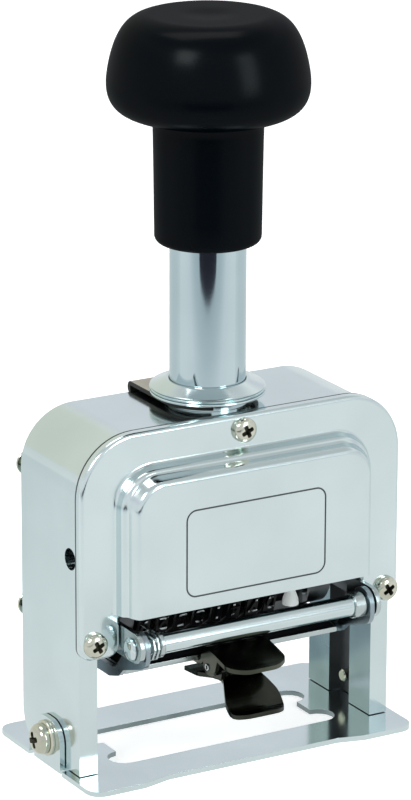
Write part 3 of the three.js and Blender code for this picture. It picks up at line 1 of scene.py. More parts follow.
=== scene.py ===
# %% [markdown]
# A numbering machine is a small press in a chromed arch. This lesson dresses its measured model
# for a studio photograph. The measured solids arrive as a fixed frame: nothing in it is moved or
# resized, and every finer piece made here sits where a measured solid sits.
# Everything is in metres, with X to the right, Y to the back and Z up.

# %% Load the measured frame
import json
import math

import bmesh
import bpy
from mathutils import Matrix, Vector


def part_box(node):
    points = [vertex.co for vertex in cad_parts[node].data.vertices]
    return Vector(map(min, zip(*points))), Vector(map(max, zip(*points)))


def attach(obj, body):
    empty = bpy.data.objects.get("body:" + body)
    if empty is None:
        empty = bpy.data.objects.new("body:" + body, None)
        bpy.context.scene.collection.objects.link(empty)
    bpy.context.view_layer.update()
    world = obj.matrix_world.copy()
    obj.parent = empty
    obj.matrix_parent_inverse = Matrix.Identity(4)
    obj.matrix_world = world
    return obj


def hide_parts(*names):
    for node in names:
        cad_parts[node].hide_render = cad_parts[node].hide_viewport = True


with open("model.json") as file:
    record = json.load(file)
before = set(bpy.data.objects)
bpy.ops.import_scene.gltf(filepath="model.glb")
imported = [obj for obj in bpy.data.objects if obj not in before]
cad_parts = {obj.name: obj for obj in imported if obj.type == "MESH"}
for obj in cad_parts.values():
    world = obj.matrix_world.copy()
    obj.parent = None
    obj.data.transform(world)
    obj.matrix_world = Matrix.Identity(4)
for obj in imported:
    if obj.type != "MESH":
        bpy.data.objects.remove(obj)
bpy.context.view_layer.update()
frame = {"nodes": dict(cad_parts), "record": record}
nodes = frame["nodes"]
MM = 0.001

# %% [markdown]
# The camera comes first, because every later choice is judged through it. The numbers below are
# where the photographer stood: about 0.98 m away, 30 degrees to the left and 18 degrees above the
# machine, with a long lens. A long lens keeps the upright edges almost parallel, as they are in
# the photograph. The frame's origin lies a little in front of the arch's middle plane, so the
# camera is placed from the arch itself.

# %% Place the camera
housing_low, housing_high = (Vector(corner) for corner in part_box("housing_shell"))
arch_centre = (housing_low + housing_high) / 2
CAMERA_FROM_ARCH = Vector((-456.707, -790.827, 369.135)) * MM
CAMERA_YAW = math.radians(-29.98)
CAMERA_PITCH = math.radians(-17.62)
CAMERA_ROLL = math.radians(0.2)
LENS = 193.4
SENSOR = 36.0

camera_data = bpy.data.cameras.new("studio_camera")
camera_data.lens = LENS
camera_data.sensor_width = SENSOR
camera = bpy.data.objects.new("studio_camera", camera_data)
bpy.context.scene.collection.objects.link(camera)
camera.location = Vector((arch_centre.x, arch_centre.y, 0)) + CAMERA_FROM_ARCH
turn = Matrix.Rotation(CAMERA_YAW, 4, "Z") @ Matrix.Rotation(math.pi / 2 + CAMERA_PITCH, 4, "X")
camera.rotation_euler = (turn @ Matrix.Rotation(CAMERA_ROLL, 4, "Z")).to_euler()
bpy.context.scene.camera = camera
print(f"camera {camera.location[:]}, lens {LENS} mm")

# %% [markdown]
# Materials and light are both made of nodes. A few helpers keep the node work short: one adds a
# node, and the others add a sum, a range, a ramp, a blend of two colours or a choice of shaders.

# %% Helpers: nodes
def new_node(tree, kind, **values):
    """Adds a node and sets its sockets by name."""
    node = tree.nodes.new(kind)
    for name, value in values.items():
        node.inputs[name.replace("_", " ")].default_value = value
    return node


def maths(tree, operation, first, second=None):
    """Adds a maths node; an argument is a socket or a number."""
    node = tree.nodes.new("ShaderNodeMath")
    node.operation = operation
    for socket, value in zip(node.inputs, (first, second)):
        if isinstance(value, (int, float)):
            socket.default_value = value
        elif value is not None:
            tree.links.new(value, socket)
    return node.outputs[0]


def map_range(tree, value, low, high):
    """Turns low to high into 0 to 1, and holds it there."""
    node = new_node(tree, "ShaderNodeMapRange", From_Min=low, From_Max=high)
    tree.links.new(value, node.inputs["Value"])
    return node.outputs["Result"]


def ramp(tree, factor, stops):
    """Adds a colour ramp of (position, colour) stops."""
    node = tree.nodes.new("ShaderNodeValToRGB")
    elements = node.color_ramp.elements
    while len(elements) < len(stops):
        elements.new(0.5)
    for element, (position, colour) in zip(elements, stops):
        element.position = position
        element.color = (*colour, 1)
    tree.links.new(factor, node.inputs["Fac"])
    return node.outputs["Color"]


def blend_colours(tree, factor, first, second):
    """Mixes two colours, each a socket or (red, green, blue)."""
    node = tree.nodes.new("ShaderNodeMix")
    node.data_type = "RGBA"
    tree.links.new(factor, node.inputs["Factor"])
    for letter, colour in (("A", first), ("B", second)):
        if isinstance(colour, tuple):
            node.inputs[letter].default_value = (*colour, 1)
        else:
            tree.links.new(colour, node.inputs[letter])
    return node.outputs["Result"]


def choose_shader(tree, question, shader_if_no, shader_if_yes):
    """Picks one of two shader nodes by a question about the ray."""
    node = tree.nodes.new("ShaderNodeMixShader")
    tree.links.new(question, node.inputs[0])
    tree.links.new(shader_if_no.outputs[0], node.inputs[1])
    tree.links.new(shader_if_yes.outputs[0], node.inputs[2])
    return node


print("node helpers ready")

# %% [markdown]
# Chrome has almost no colour of its own, so the room is half of its finish. The room here is a
# plain studio: pale paper on the floor, a lamp on each side and a large one above. The world is
# white to the camera and a grey gradient to the metal, so each slope of the pressed cover mirrors
# a tone of its own. Behind the machine stands a warm wall that only the arch's left shoulder
# mirrors, and its limits are given as directions of the mirrored ray.

# %% Build the world light
WORLD_LIGHT = 0.62
SKY = [(0.0, (0.80, 0.82, 0.83)), (0.50, (0.80, 0.83, 0.84)), (0.60, (0.84, 0.86, 0.89)),
       (0.66, (0.74, 0.76, 0.80)), (0.70, (0.74, 0.76, 0.80)), (0.78, (0.93, 0.94, 0.94)),
       (0.86, (0.68, 0.70, 0.72)), (0.92, (0.60, 0.62, 0.63)), (1.0, (0.62, 0.64, 0.65))]
WARM_WALL = (0.77, 0.79, 0.71)
WARM_LIMITS = {"X": (0.42, 0.2), "Y": (0.6, 0.75), "Z": (0.04, 0.09)}

world = bpy.data.worlds.new("studio_world")
world.use_nodes = True
tree = world.node_tree
tree.nodes.clear()
axes = new_node(tree, "ShaderNodeSeparateXYZ")
tree.links.new(new_node(tree, "ShaderNodeTexCoord").outputs["Generated"], axes.inputs[0])
sky = ramp(tree, map_range(tree, axes.outputs["Z"], -1, 1), SKY)
warm_share = 1
for axis, (outer, inner) in WARM_LIMITS.items():
    warm_share = maths(tree, "MULTIPLY", map_range(tree, axes.outputs[axis], outer, inner), warm_share)

felt = new_node(tree, "ShaderNodeBackground", Strength=WORLD_LIGHT)
tree.links.new(sky, felt.inputs["Color"])
mirrored = new_node(tree, "ShaderNodeBackground", Strength=1.0)
tree.links.new(blend_colours(tree, warm_share, sky, WARM_WALL), mirrored.inputs["Color"])
seen = new_node(tree, "ShaderNodeBackground", Color=(1, 1, 1, 1), Strength=1.0)
paths = new_node(tree, "ShaderNodeLightPath")
light = choose_shader(tree, paths.outputs["Is Glossy Ray"], felt, mirrored)
light = choose_shader(tree, paths.outputs["Is Camera Ray"], light, seen)
tree.links.new(light.outputs[0], new_node(tree, "ShaderNodeOutputWorld").inputs[0])
bpy.context.scene.world = world
bpy.context.scene.view_settings.view_transform = "Standard"
print("world: white to the camera, graded to the metal")

# %% [markdown]
# The floor is a wide sheet of pale paper. A little glow that only the camera sees lifts the lit
# part to the white of the photograph, while the soft shadow under the machine stays. Polished
# metal sees the paper as an even sheet without shadows, because a lamp's shadow mirrored in a
# chromed wall reads as a dark stain.

# %% Lay the floor
FLOOR_HALF = 6.0
FLOOR_COLOUR = (0.86, 0.86, 0.86, 1)
FLOOR_ROUGHNESS = 0.9
FLOOR_GLOW = 0.62
PAPER_IN_MIRROR = (0.84, 0.86, 0.86, 1)


def in_scene(name, mesh):
    """Puts a mesh in the scene as an object."""
    made = bpy.data.objects.new(name, mesh)
    bpy.context.scene.collection.objects.link(made)
    return made


corners = [(x * FLOOR_HALF, y * FLOOR_HALF, 0) for x, y in ((-1, -1), (1, -1), (1, 1), (-1, 1))]
floor_mesh = bpy.data.meshes.new("paper_floor")
floor_mesh.from_pydata(corners, [], [(0, 1, 2, 3)])
floor = in_scene("paper_floor", floor_mesh)
paper = bpy.data.materials.new("pale_paper")
paper.use_nodes = True
tree = paper.node_tree
surface = tree.nodes["Principled BSDF"]
surface.inputs["Base Color"].default_value = FLOOR_COLOUR
surface.inputs["Roughness"].default_value = FLOOR_ROUGHNESS
surface.inputs["Emission Color"].default_value = (1, 1, 1, 1)
paths = new_node(tree, "ShaderNodeLightPath")
glow = maths(tree, "MULTIPLY", paths.outputs["Is Camera Ray"], FLOOR_GLOW)
tree.links.new(glow, surface.inputs["Emission Strength"])
even_paper = new_node(tree, "ShaderNodeEmission", Color=PAPER_IN_MIRROR)
sheet = choose_shader(tree, paths.outputs["Is Glossy Ray"], surface, even_paper)
tree.links.new(sheet.outputs[0], tree.nodes["Material Output"].inputs["Surface"])
floor.data.materials.append(paper)
print("floor laid")

# %% [markdown]
# A photographer steers what chrome mirrors with cards. These cards lie flat on the floor, and only
# reflections see them. The paper in front grows darker towards the camera and ends in a dark room,
# which draws the dark streak on the tube. The paper behind is a little darker than the floor, and
# the patch under the machine is darker still: a painted shadow of the machine, which the foot plate
# and the posts mirror.

# %% Helper: a card that only reflections see
CARD_STEPS = 32
AHEAD, BEHIND = 0, 180
CARD_LIFT, ROOM_LIFT = 0.001, 0.002


def floor_card(name, heading, lift, rows, shades):
    """A flat card of rows (distance, half_angle); its glow changes with the distance along the heading."""
    towards = Vector((CAMERA_FROM_ARCH.x, CAMERA_FROM_ARCH.y, 0)).normalized()
    towards = Matrix.Rotation(math.radians(heading), 3, "Z") @ towards
    vertices, faces = [], []
    for distance, half_angle in rows:
        for step in range(CARD_STEPS + 1):
            angle = math.radians(half_angle * (2 * step / CARD_STEPS - 1))
            spot = Matrix.Rotation(angle, 3, "Z") @ towards * distance
            vertices.append((spot.x, spot.y, lift))
    for row in range(len(rows) - 1):
        for step in range(CARD_STEPS):
            low = row * (CARD_STEPS + 1) + step
            faces.append((low, low + 1, low + CARD_STEPS + 2, low + CARD_STEPS + 1))
    mesh = bpy.data.meshes.new(name)
    mesh.from_pydata(vertices, [], faces)
    card = in_scene(name, mesh)
    look = bpy.data.materials.new(name + "_look")
    look.use_nodes = True
    tree = look.node_tree
    tree.nodes.clear()
    along = tree.nodes.new("ShaderNodeVectorMath")
    along.operation = "DOT_PRODUCT"
    along.inputs[1].default_value = towards
    tree.links.new(new_node(tree, "ShaderNodeTexCoord").outputs["Object"], along.inputs[0])
    glow = new_node(tree, "ShaderNodeEmission")
    tree.links.new(ramp(tree, along.outputs["Value"], shades), glow.inputs["Color"])
    tree.links.new(glow.outputs[0], new_node(tree, "ShaderNodeOutputMaterial").inputs[0])
    card.data.materials.append(look)
    for sense in ("camera", "diffuse", "shadow", "transmission"):
        setattr(card, "visible_" + sense, False)
    return card


# %% Lay the cards
floor_card("paper_falloff", AHEAD, CARD_LIFT, [(0.12, 90), (0.9, 90)], [
    (0.0, (0.92, 0.93, 0.93)), (0.12, (0.91, 0.925, 0.93)), (0.22, (0.85, 0.875, 0.89)),
    (0.3, (0.62, 0.68, 0.71)), (0.4, (0.46, 0.53, 0.57))])
floor_card("paper_behind", BEHIND, CARD_LIFT, [(0.09, 90), (0.9, 90)], [
    (0.0, (0.84, 0.88, 0.88)), (0.1, (0.75, 0.79, 0.80)), (0.3, (0.72, 0.77, 0.78))])
# Painted shadow: this dark card near the machine stands for its shadow, and only reflections see it.
floor_card("near_painted_shadow", BEHIND, CARD_LIFT, [(0.03, 42), (0.0899, 42)], [
    (0.0, (0.24, 0.31, 0.32)), (0.05, (0.36, 0.44, 0.46)), (0.09, (0.60, 0.66, 0.68))])
floor_card("dark_room", AHEAD, ROOM_LIFT,
           [(0.352, 3), (0.36, 12), (0.37, 19), (0.385, 24), (0.41, 26), (0.9, 28)],
           [(0.3, (0.05, 0.045, 0.06)), (0.4, (0.02, 0.018, 0.03))])
print("four cards laid")

# %% [markdown]
# Three soft lamps do the rest. The key and the fill are placed so that their two highlights lie on
# the knob where the photograph has them, and a large weak one lights the roof.

# %% Hang the lamps
LAMP_AIM = Vector((0.0, 0.0, 0.08))
LAMPS = {
    "key_lamp": {"place": (-0.81, -0.45, 0.85), "size": (0.4, 0.4), "watts": 4.8, "tint": (0.9, 1.0, 1.0)},
    "fill_lamp": {"place": (0.33, -1.0, 0.5), "size": (0.35, 0.7), "watts": 3.6, "tint": (0.85, 1.0, 1.0)},
    "top_lamp": {"place": (0.05, 0.25, 1.1), "size": (0.8, 0.5), "watts": 3.2, "tint": (1.0, 1.0, 1.0)},
}
for lamp_name, lamp in LAMPS.items():
    data = bpy.data.lights.new(lamp_name, "AREA")
    data.shape = "RECTANGLE"
    data.size, data.size_y = lamp["size"]
    data.energy = lamp["watts"]
    data.color = lamp["tint"]
    hung = in_scene(lamp_name, data)
    hung.location = lamp["place"]
    hung.rotation_euler = (LAMP_AIM - Vector(lamp["place"])).to_track_quat("-Z", "Y").to_euler()
print(f"{len(LAMPS)} lamps hung")

# %% [markdown]
# Hands and handling leave the same soft marks on every metal here, so that effect is made once as
# a shader node group: cloudy smudges and fine rubbing lines. Each finish places the group with its
# own amounts. The group gives values that change over the surface, and the Principled shader stays
# in each material, where its plain numbers are set on its own sockets.

# %% Shared effect: handling marks
LINE_STRETCH = (1.0, 1.0, 14.0)
LINE_FINENESS = 9.0


def group_sockets(group, inputs, outputs):
    """Gives a shader node group its number sockets; inputs are name and first value."""
    for name, value in inputs.items():
        socket = group.interface.new_socket(name=name, in_out="INPUT", socket_type="NodeSocketFloat")
        socket.default_value = value
    for name in outputs:
        group.interface.new_socket(name=name, in_out="OUTPUT", socket_type="NodeSocketFloat")


def noise(tree, vector, scale, detail):
    """Adds soft noise; the scale is a socket or a number."""
    node = new_node(tree, "ShaderNodeTexNoise", Detail=detail, Roughness=0.5)
    if isinstance(scale, (int, float)):
        node.inputs["Scale"].default_value = scale
    else:
        tree.links.new(scale, node.inputs["Scale"])
    tree.links.new(vector, node.inputs["Vector"])
    return node.outputs["Fac"]


marks = bpy.data.node_groups.new("handling_marks", "ShaderNodeTree")
group_sockets(marks, {"Base Roughness": 0.1, "Smudge": 0.05, "Line Depth": 0.2, "Scale": 60.0},
              ("Roughness", "Mask", "Height"))
given = marks.nodes.new("NodeGroupInput").outputs
results = marks.nodes.new("NodeGroupOutput").inputs
spot = new_node(marks, "ShaderNodeTexCoord").outputs["Object"]
cloud = noise(marks, spot, given["Scale"], 3.0)
smudge = maths(marks, "MULTIPLY", maths(marks, "SUBTRACT", cloud, 0.5), given["Smudge"])
rougher = maths(marks, "ADD", given["Base Roughness"], maths(marks, "MULTIPLY", smudge, 2.0))
stretch = new_node(marks, "ShaderNodeMapping", Scale=LINE_STRETCH)
marks.links.new(spot, stretch.inputs["Vector"])
line_scale = maths(marks, "MULTIPLY", given["Scale"], LINE_FINENESS)
lines = noise(marks, stretch.outputs[0], line_scale, 2.0)
marks.links.new(rougher, results["Roughness"])
marks.links.new(cloud, results["Mask"])
marks.links.new(maths(marks, "MULTIPLY", lines, given["Line Depth"]), results["Height"])
print("group handling_marks built")

# %% [markdown]
# Each finish is one Principled shader whose roughness and bump come from the shared marks, and
# whose colour drifts between two tones with the smudges. Chrome is nearly a mirror with a cool
# cast. The screws are nickel, which looks faintly yellow beside it. The finger blades are dark
# oiled spring steel, and the lock plate is tempered brown.

# %% Helper: a finish
def finish(name, colour, second=None, roughness=0.3, metallic=1.0, smudge=0.1, line_depth=0.4, scale=90.0,
           bump=0.02, gloss=0.5, coat=0.0, coat_roughness=0.2):
    """A Principled finish driven by the handling marks; the second tone is 0.9 of the first unless given."""
    material = bpy.data.materials.new(name)
    material.use_nodes = True
    tree = material.node_tree
    shader = tree.nodes["Principled BSDF"]
    shader.inputs["Metallic"].default_value = metallic
    shader.inputs["Specular IOR Level"].default_value = gloss
    shader.inputs["Coat Weight"].default_value = coat
    shader.inputs["Coat Roughness"].default_value = coat_roughness
    worn = tree.nodes.new("ShaderNodeGroup")
    worn.node_tree = marks
    amounts = {"Base Roughness": roughness, "Smudge": smudge, "Line Depth": line_depth, "Scale": scale}
    for socket_name, value in amounts.items():
        worn.inputs[socket_name].default_value = value
    tree.links.new(worn.outputs["Roughness"], shader.inputs["Roughness"])
    darker = second or tuple(channel * 0.9 for channel in colour)
    tones = ramp(tree, worn.outputs["Mask"], [(0.3, darker), (0.7, colour)])
    tree.links.new(tones, shader.inputs["Base Color"])
    relief = new_node(tree, "ShaderNodeBump", Strength=bump, Distance=0.2 * MM)
    tree.links.new(worn.outputs["Height"], relief.inputs["Height"])
    tree.links.new(relief.outputs["Normal"], shader.inputs["Normal"])
    return material


# %% Mix the finishes
FINISHES = {
    "chrome_plate": finish("chrome", (0.70, 0.795, 0.805), (0.63, 0.72, 0.73), roughness=0.13, smudge=0.06,
                           line_depth=0.15, scale=42.0),
    "bright_steel": finish("plated_steel", (0.54, 0.60, 0.605), roughness=0.22, smudge=0.08, scale=80.0),
    "nickel_screw": finish("nickel", (0.72, 0.72, 0.62), (0.52, 0.52, 0.42), roughness=0.17, line_depth=0.2,
                           scale=150.0),
    "dark_steel": finish("oiled_spring_steel", (0.075, 0.075, 0.06), (0.04, 0.04, 0.032), roughness=0.26,
                         line_depth=0.3),
    "lock_steel": finish("tempered_steel", (0.42, 0.38, 0.33), (0.3, 0.27, 0.24)),
    "black_plastic": finish("moulded_black", (0.0006, 0.0018, 0.0032), roughness=0.4, metallic=0.0,
                            smudge=0.08, line_depth=0.5, scale=45.0, bump=0.05, gloss=0.0,
                            coat=0.13, coat_roughness=0.25),
    "wheel_enamel": finish("inked_enamel", (0.006, 0.006, 0.007), metallic=0.0, smudge=0.15, scale=140.0,
                           bump=0.1, gloss=0.15),
    "white_nylon": finish("white_nylon", (0.93, 0.93, 0.92), roughness=0.42, metallic=0.0, smudge=0.05,
                          line_depth=0.3),
    "ink_felt": finish("inked_felt", (0.010, 0.010, 0.013), roughness=0.9, metallic=0.0, line_depth=3.0,
                       scale=400.0, bump=0.8, gloss=0.1),
}
# Painted light: the white nylon of the pawl glows a little, which lifts it out of the shade inside the mouth.
NYLON_PAINTED_GLOW_TINT, NYLON_PAINTED_GLOW = (0.9, 0.95, 0.95, 1), 0.25
nylon = FINISHES["white_nylon"].node_tree.nodes["Principled BSDF"]
nylon.inputs["Emission Color"].default_value = NYLON_PAINTED_GLOW_TINT
nylon.inputs["Emission Strength"].default_value = NYLON_PAINTED_GLOW
print(f"{len(FINISHES)} finishes mixed")

# %% [markdown]
# A measured solid is faceted and has knife edges. Real pressed and machined parts have a small
# round on every edge, and that round is what catches the light. The simplest refinement is a copy
# of the solid with its flat faces merged and its edges bevelled. It replaces the solid, so the
# solid itself is never touched.

# %% Helper: dress a piece
rebuilt = set()
node_slot = {entry["node"]: entry["material_slot"] for entry in frame["record"]["subparts"]}
bodies = frame["record"]["behaviour"]["bodies"]
node_body = {member: body_name for body_name, members in bodies.items() for member in members}


def dress(piece, node, look=None):
    """Gives a finished piece its material, chosen by the node's slot unless another look is given, its body,
    and hides the node that it stands for.
    """
    piece.data.materials.clear()
    piece.data.materials.append(look or FINISHES[node_slot[node]])
    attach(piece, node_body[node])
    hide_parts(node)
    rebuilt.add(node)
    return piece


print(f"{len(node_slot)} nodes have a slot and a body")


# %% Helpers: smooth shading and rounded edges
DOUBLE_GAP = 0.001 * MM


def smooth(piece, angle):
    """Smooth shading, with edges sharper than the angle kept crisp."""
    edited = bmesh.new()
    edited.from_mesh(piece.data)
    limit = math.radians(angle)
    for face in edited.faces:
        face.smooth = True
    for edge in edited.edges:
        edge.smooth = len(edge.link_faces) == 2 and edge.calc_face_angle(0) < limit
    edited.to_mesh(piece.data)
    edited.free()
    return piece


def apply_modifiers(piece):
    """Replaces the mesh with what its modifiers make of it."""
    bpy.context.view_layer.update()
    depsgraph = bpy.context.evaluated_depsgraph_get()
    baked = bpy.data.meshes.new_from_object(piece.evaluated_get(depsgraph))
    old = piece.data
    piece.modifiers.clear()
    piece.data = baked
    bpy.data.meshes.remove(old)
    return piece


def bevelled(piece, width, segments, angle):
    """Rounds every edge sharper than the angle."""
    bevel = piece.modifiers.new("edge_round", "BEVEL")
    bevel.width = width
    bevel.segments = segments
    bevel.limit_method = "ANGLE"
    bevel.angle_limit = math.radians(angle)
    bevel.use_clamp_overlap = True
    return apply_modifiers(piece)


def flat_faces(piece, angle):
    """Smooth shading that leaves large flat faces truly flat and sharp edges crisp."""
    smooth(piece, angle)
    weights = piece.modifiers.new("flat_faces", "WEIGHTED_NORMAL")
    weights.keep_sharp = True
    weights.weight = 100
    return apply_modifiers(piece)


def merge_flats(mesh, angle):
    """Merges doubled points and flat neighbours."""
    edited = bmesh.new()
    edited.from_mesh(mesh)
    bmesh.ops.remove_doubles(edited, verts=edited.verts, dist=DOUBLE_GAP)
    bmesh.ops.dissolve_limit(edited, angle_limit=math.radians(angle), verts=edited.verts, edges=edited.edges)
    edited.to_mesh(mesh)
    edited.free()


print("edge helpers ready")


# %% Helper: refine a measured solid
EDGE_ROUND = 0.15 * MM


def refined(node, width=EDGE_ROUND, segments=2, look=None):
    """A bevelled, smooth copy of a measured solid that replaces it."""
    mesh = nodes[node].data.copy()
    mesh.name = node + "_fine"
    piece = in_scene(node + "_fine", mesh)
    merge_flats(mesh, angle=1.0)
    bevelled(piece, width, segments, angle=32)
    flat_faces(piece, angle=37)
    return dress(piece, node, look)


print(f"edges are rounded by {EDGE_ROUND / MM:.2f} mm")

# %% [markdown]
# Turned parts are drawn as a profile of radius and height and spun round their axis. A real lathe
# makes them the same way. With over a hundred steps round and smooth normals, the knob and the
# tube read as truly round in reflections. Outlines with rounded corners serve the pressed parts.

# %% Helpers: circles, arcs and rounded outlines
def circle(centre_x, centre_y, radius, steps):
    """Points once round a circle."""
    angles = [2 * math.pi * step / steps for step in range(steps)]
    return [(centre_x + radius * math.cos(angle), centre_y + radius * math.sin(angle)) for angle in angles]


def arc(centre_x, centre_y, radius, start, end, steps):
    """Points on an arc, angles in degrees."""
    points = []
    for step in range(steps + 1):
        angle = math.radians(start + (end - start) * step / steps)
        points.append((centre_x + radius * math.cos(angle), centre_y + radius * math.sin(angle)))
    return points


def rounded(corners, steps):
    """Rounds each corner (x, y, radius) of a closed outline and returns its points."""
    points = []
    for index, (x, y, radius) in enumerate(corners):
        if radius <= 0:
            points.append((x, y))
            continue
        here = Vector((x, y))
        back = (Vector(corners[index - 1][:2]) - here).normalized()
        ahead = (Vector(corners[(index + 1) % len(corners)][:2]) - here).normalized()
        half = math.acos(max(-1.0, min(1.0, back.dot(ahead)))) / 2
        reach = radius / math.tan(half)
        centre = here + (back + ahead).normalized() * (radius / math.sin(half))
        first = here + back * reach - centre
        turn = first.angle_signed(here + ahead * reach - centre)
        for step in range(steps + 1):
            spun = Matrix.Rotation(-turn * step / steps, 2) @ first
            points.append((centre.x + spun.x, centre.y + spun.y))
    return points


def block(half, low, high, low_radius, high_radius, steps):
    """The outline of an upright block with its own corner radius below and above."""
    return rounded([(-half, low, low_radius), (half, low, low_radius),
                    (half, high, high_radius), (-half, high, high_radius)], steps)


print("outline helpers ready")


# %% Helper: a lathe
def from_bmesh(name, edited):
    """Turns a bmesh into an object in the scene."""
    mesh = bpy.data.meshes.new(name)
    edited.to_mesh(mesh)
    edited.free()
    return in_scene(name, mesh)


def lathe(name, profile, steps):
    """Spins (radius, height) points in millimetres round Z into a solid of rotation."""
    edited = bmesh.new()
    rings = []
    for radius, height in profile:
        points = circle(0, 0, radius * MM, steps) if radius else [(0, 0)]
        rings.append([edited.verts.new((x, y, height * MM)) for x, y in points])
    for lower, upper in zip(rings, rings[1:]):
        for step in range(steps):
            after = (step + 1) % steps
            corners = (lower[step % len(lower)], lower[after % len(lower)],
                       upper[after % len(upper)], upper[step % len(upper)])
            unique = list(dict.fromkeys(corners))
            if len(unique) > 2:
                edited.faces.new(unique)
    bmesh.ops.recalc_face_normals(edited, faces=edited.faces)
    return smooth(from_bmesh(name, edited), angle=40)


print("lathe ready")

# %% [markdown]
# The pressed and cut pieces are drawn in millimetres from the middle plane of the arch, because
# that is how they were measured, and each is moved to the frame as it is made. Plates are closed
# lofts: a list of rings with the same number of points, joined one to the next and capped at both
# ends. Holes and joined bosses are booleans with simple solids.

# %% Helpers: lofts, cuts and pins
ARCH_Y = arch_centre.y
ROOF_TOP = housing_high.z / MM


def arch_mm(point):
    """A point of the frame in arch millimetres."""
    return (point - Vector((0, ARCH_Y, 0))) / MM


def bridge(edited, rings):
    """Joins rings of points one to the next, and caps both ends."""
    made = [[edited.verts.new(point) for point in ring] for ring in rings]
    count = len(made[0])
    for lower, upper in zip(made, made[1:]):
        for index in range(count):
            after = (index + 1) % count
            edited.faces.new((lower[index], lower[after], upper[after], upper[index]))
    edited.faces.new(made[0])
    edited.faces.new(made[-1])
    bmesh.ops.recalc_face_normals(edited, faces=edited.faces)


def loft(name, rings):
    """A closed solid through rings of (x, y, z) points in arch millimetres."""
    edited = bmesh.new()
    bridge(edited, rings)
    for vertex in edited.verts:
        vertex.co = vertex.co * MM + Vector((0, ARCH_Y, 0))
    return from_bmesh(name, edited)


def prism(name, outline, front, back):
    """A plate with an (x, z) outline between two depths."""
    return loft(name, [[(x, y, z) for x, z in outline] for y in (front, back)])


def slab(name, outline, bottom, top):
    """A plate with an (x, y) outline between two heights."""
    return loft(name, [[(x, y, z) for x, y in outline] for z in (bottom, top)])


def pin_y(name, radius, x, z, front, back):
    """A cylinder along Y."""
    return prism(name, circle(x, z, radius, steps=48), front, back)


def pin_x(name, radius, y, z, left, right, steps=48):
    """A cylinder along X."""
    return loft(name, [[(x, *point) for point in circle(y, z, radius, steps)] for x in (left, right)])


def box_solid(name, low, high):
    """A box between two corners."""
    (x0, y0, z0), (x1, y1, z1) = low, high
    return prism(name, [(x0, z0), (x1, z0), (x1, z1), (x0, z1)], y0, y1)


def combine(piece, other, operation="DIFFERENCE"):
    """Cuts another solid from a piece, or joins it, and removes the other solid."""
    cut = piece.modifiers.new(operation.lower(), "BOOLEAN")
    cut.operation = operation
    cut.solver = "EXACT"
    cut.object = other
    apply_modifiers(piece)
    bpy.data.objects.remove(other)
    return piece


def paint(piece, look, chosen):
    """Adds a material and gives it to the faces that the test picks."""
    piece.data.materials.append(look)
    for face in piece.data.polygons:
        if chosen(face):
            face.material_index = len(piece.data.materials) - 1


print(f"arch middle plane at y = {ARCH_Y / MM:.3f} mm, roof at z = {ROOF_TOP:.1f} mm")

# %% [markdown]
# The front cover is one pressing. Its edge is rolled back over the arch, and the raised panel has
# a soft foot, a small step halfway up its flank and a round crown. All of them are curves here, so
# each one draws a bright or a dark line of its own. The cover is a solid skin with a slightly
# smaller solid taken out of it, which leaves a sheet of even thickness.

# %% The outline of the pressed cover
SHEET = 1.2
COVER = {"half": 40.86, "top": 80.14, "foot": 29.2, "mouth": 39.2, "lobe_inner": 31.0, "lobe": 3.0,
         "mouth_corner": 2.5, "shoulder": 13.86, "front": -16.04, "back": -13.4, "roll": 1.0}
ROLL_STEPS = 8
ROLL_SHRINK = 0.4


def cover_ring(inset):
    """The outline of the cover: two lobes below, a mouth between them and two round shoulders."""
    half, inner = COVER["half"] - inset, COVER["lobe_inner"] + inset
    top, foot, mouth = COVER["top"] - inset, COVER["foot"] + inset, COVER["mouth"] + inset
    lobe, shoulder, corner = COVER["lobe"] - inset, COVER["shoulder"] - inset, COVER["mouth_corner"]
    right = [(inner, mouth, corner), (inner, foot, lobe), (half, foot, lobe), (half, top, shoulder)]
    left = [(-x, z, radius) for x, z, radius in right]
    return rounded([left[2], left[1], left[0], *right, left[3]], steps=14)


def cover_solid(name, inset, back):
    """The skin from its open back to its rolled front edge."""
    front = COVER["front"] + inset
    roll = COVER["roll"] - inset * ROLL_SHRINK
    rings = [[(x, back, z) for x, z in cover_ring(inset)]]
    for step in range(ROLL_STEPS + 1):
        angle = math.radians(90 * step / ROLL_STEPS)
        ring = cover_ring(inset + roll * (1 - math.cos(angle)))
        rings.append([(x, front + roll * (1 - math.sin(angle)), z) for x, z in ring])
    return loft(name, rings)


print(f"cover outline: {len(cover_ring(0))} points")

# %% The raised panel, as rows of (spread, rise) up its flank
PANEL = {"half": 29.6, "top": 69.6, "corner": 6.5, "rise": 5.96}
FLANK = [(3.55, -0.02), (3.3, 0.03), (3.08, 0.13), (2.86, 0.36), (2.7, 0.7), (2.52, 1.25), (2.36, 1.75),
         (2.2, 2.15), (1.98, 2.42), (1.7, 2.58), (1.44, 2.75), (1.24, 3.0), (1.08, 3.4), (0.88, 4.0),
         (0.66, 4.6), (0.46, 5.05), (0.22, 5.44), (-0.08, 5.72), (-0.42, 5.88), (-0.85, 5.96)]
SMALLEST_CORNER = 0.5


def panel_solid(name, inset, foot, back):
    """The panel from behind the sheet to its face."""
    rows = [(spread, COVER["front"] + inset - rise) for spread, rise in FLANK]
    rings = []
    for spread, depth in [(FLANK[0][0], back), *rows]:
        half, top = PANEL["half"] + spread - inset, PANEL["top"] + spread - inset
        corner = max(PANEL["corner"] + spread - inset, SMALLEST_CORNER)
        outline = block(half, foot, top, 0, corner, steps=18)
        rings.append([(x, depth, z) for x, z in outline])
    return loft(name, rings)


cover = cover_solid("front_cover_fine", 0, COVER["back"])
combine(cover, panel_solid("raised_panel", 0, COVER["mouth"], COVER["front"] + SHEET), "UNION")
combine(cover, cover_solid("cover_hollow", SHEET, COVER["back"] + 1))
combine(cover, panel_solid("panel_hollow", SHEET, COVER["mouth"] - 1, COVER["front"] + 2 * SHEET))
merge_flats(cover.data, angle=0.5)
bevelled(cover, width=0.22 * MM, segments=3, angle=50)
print("cover pressed")

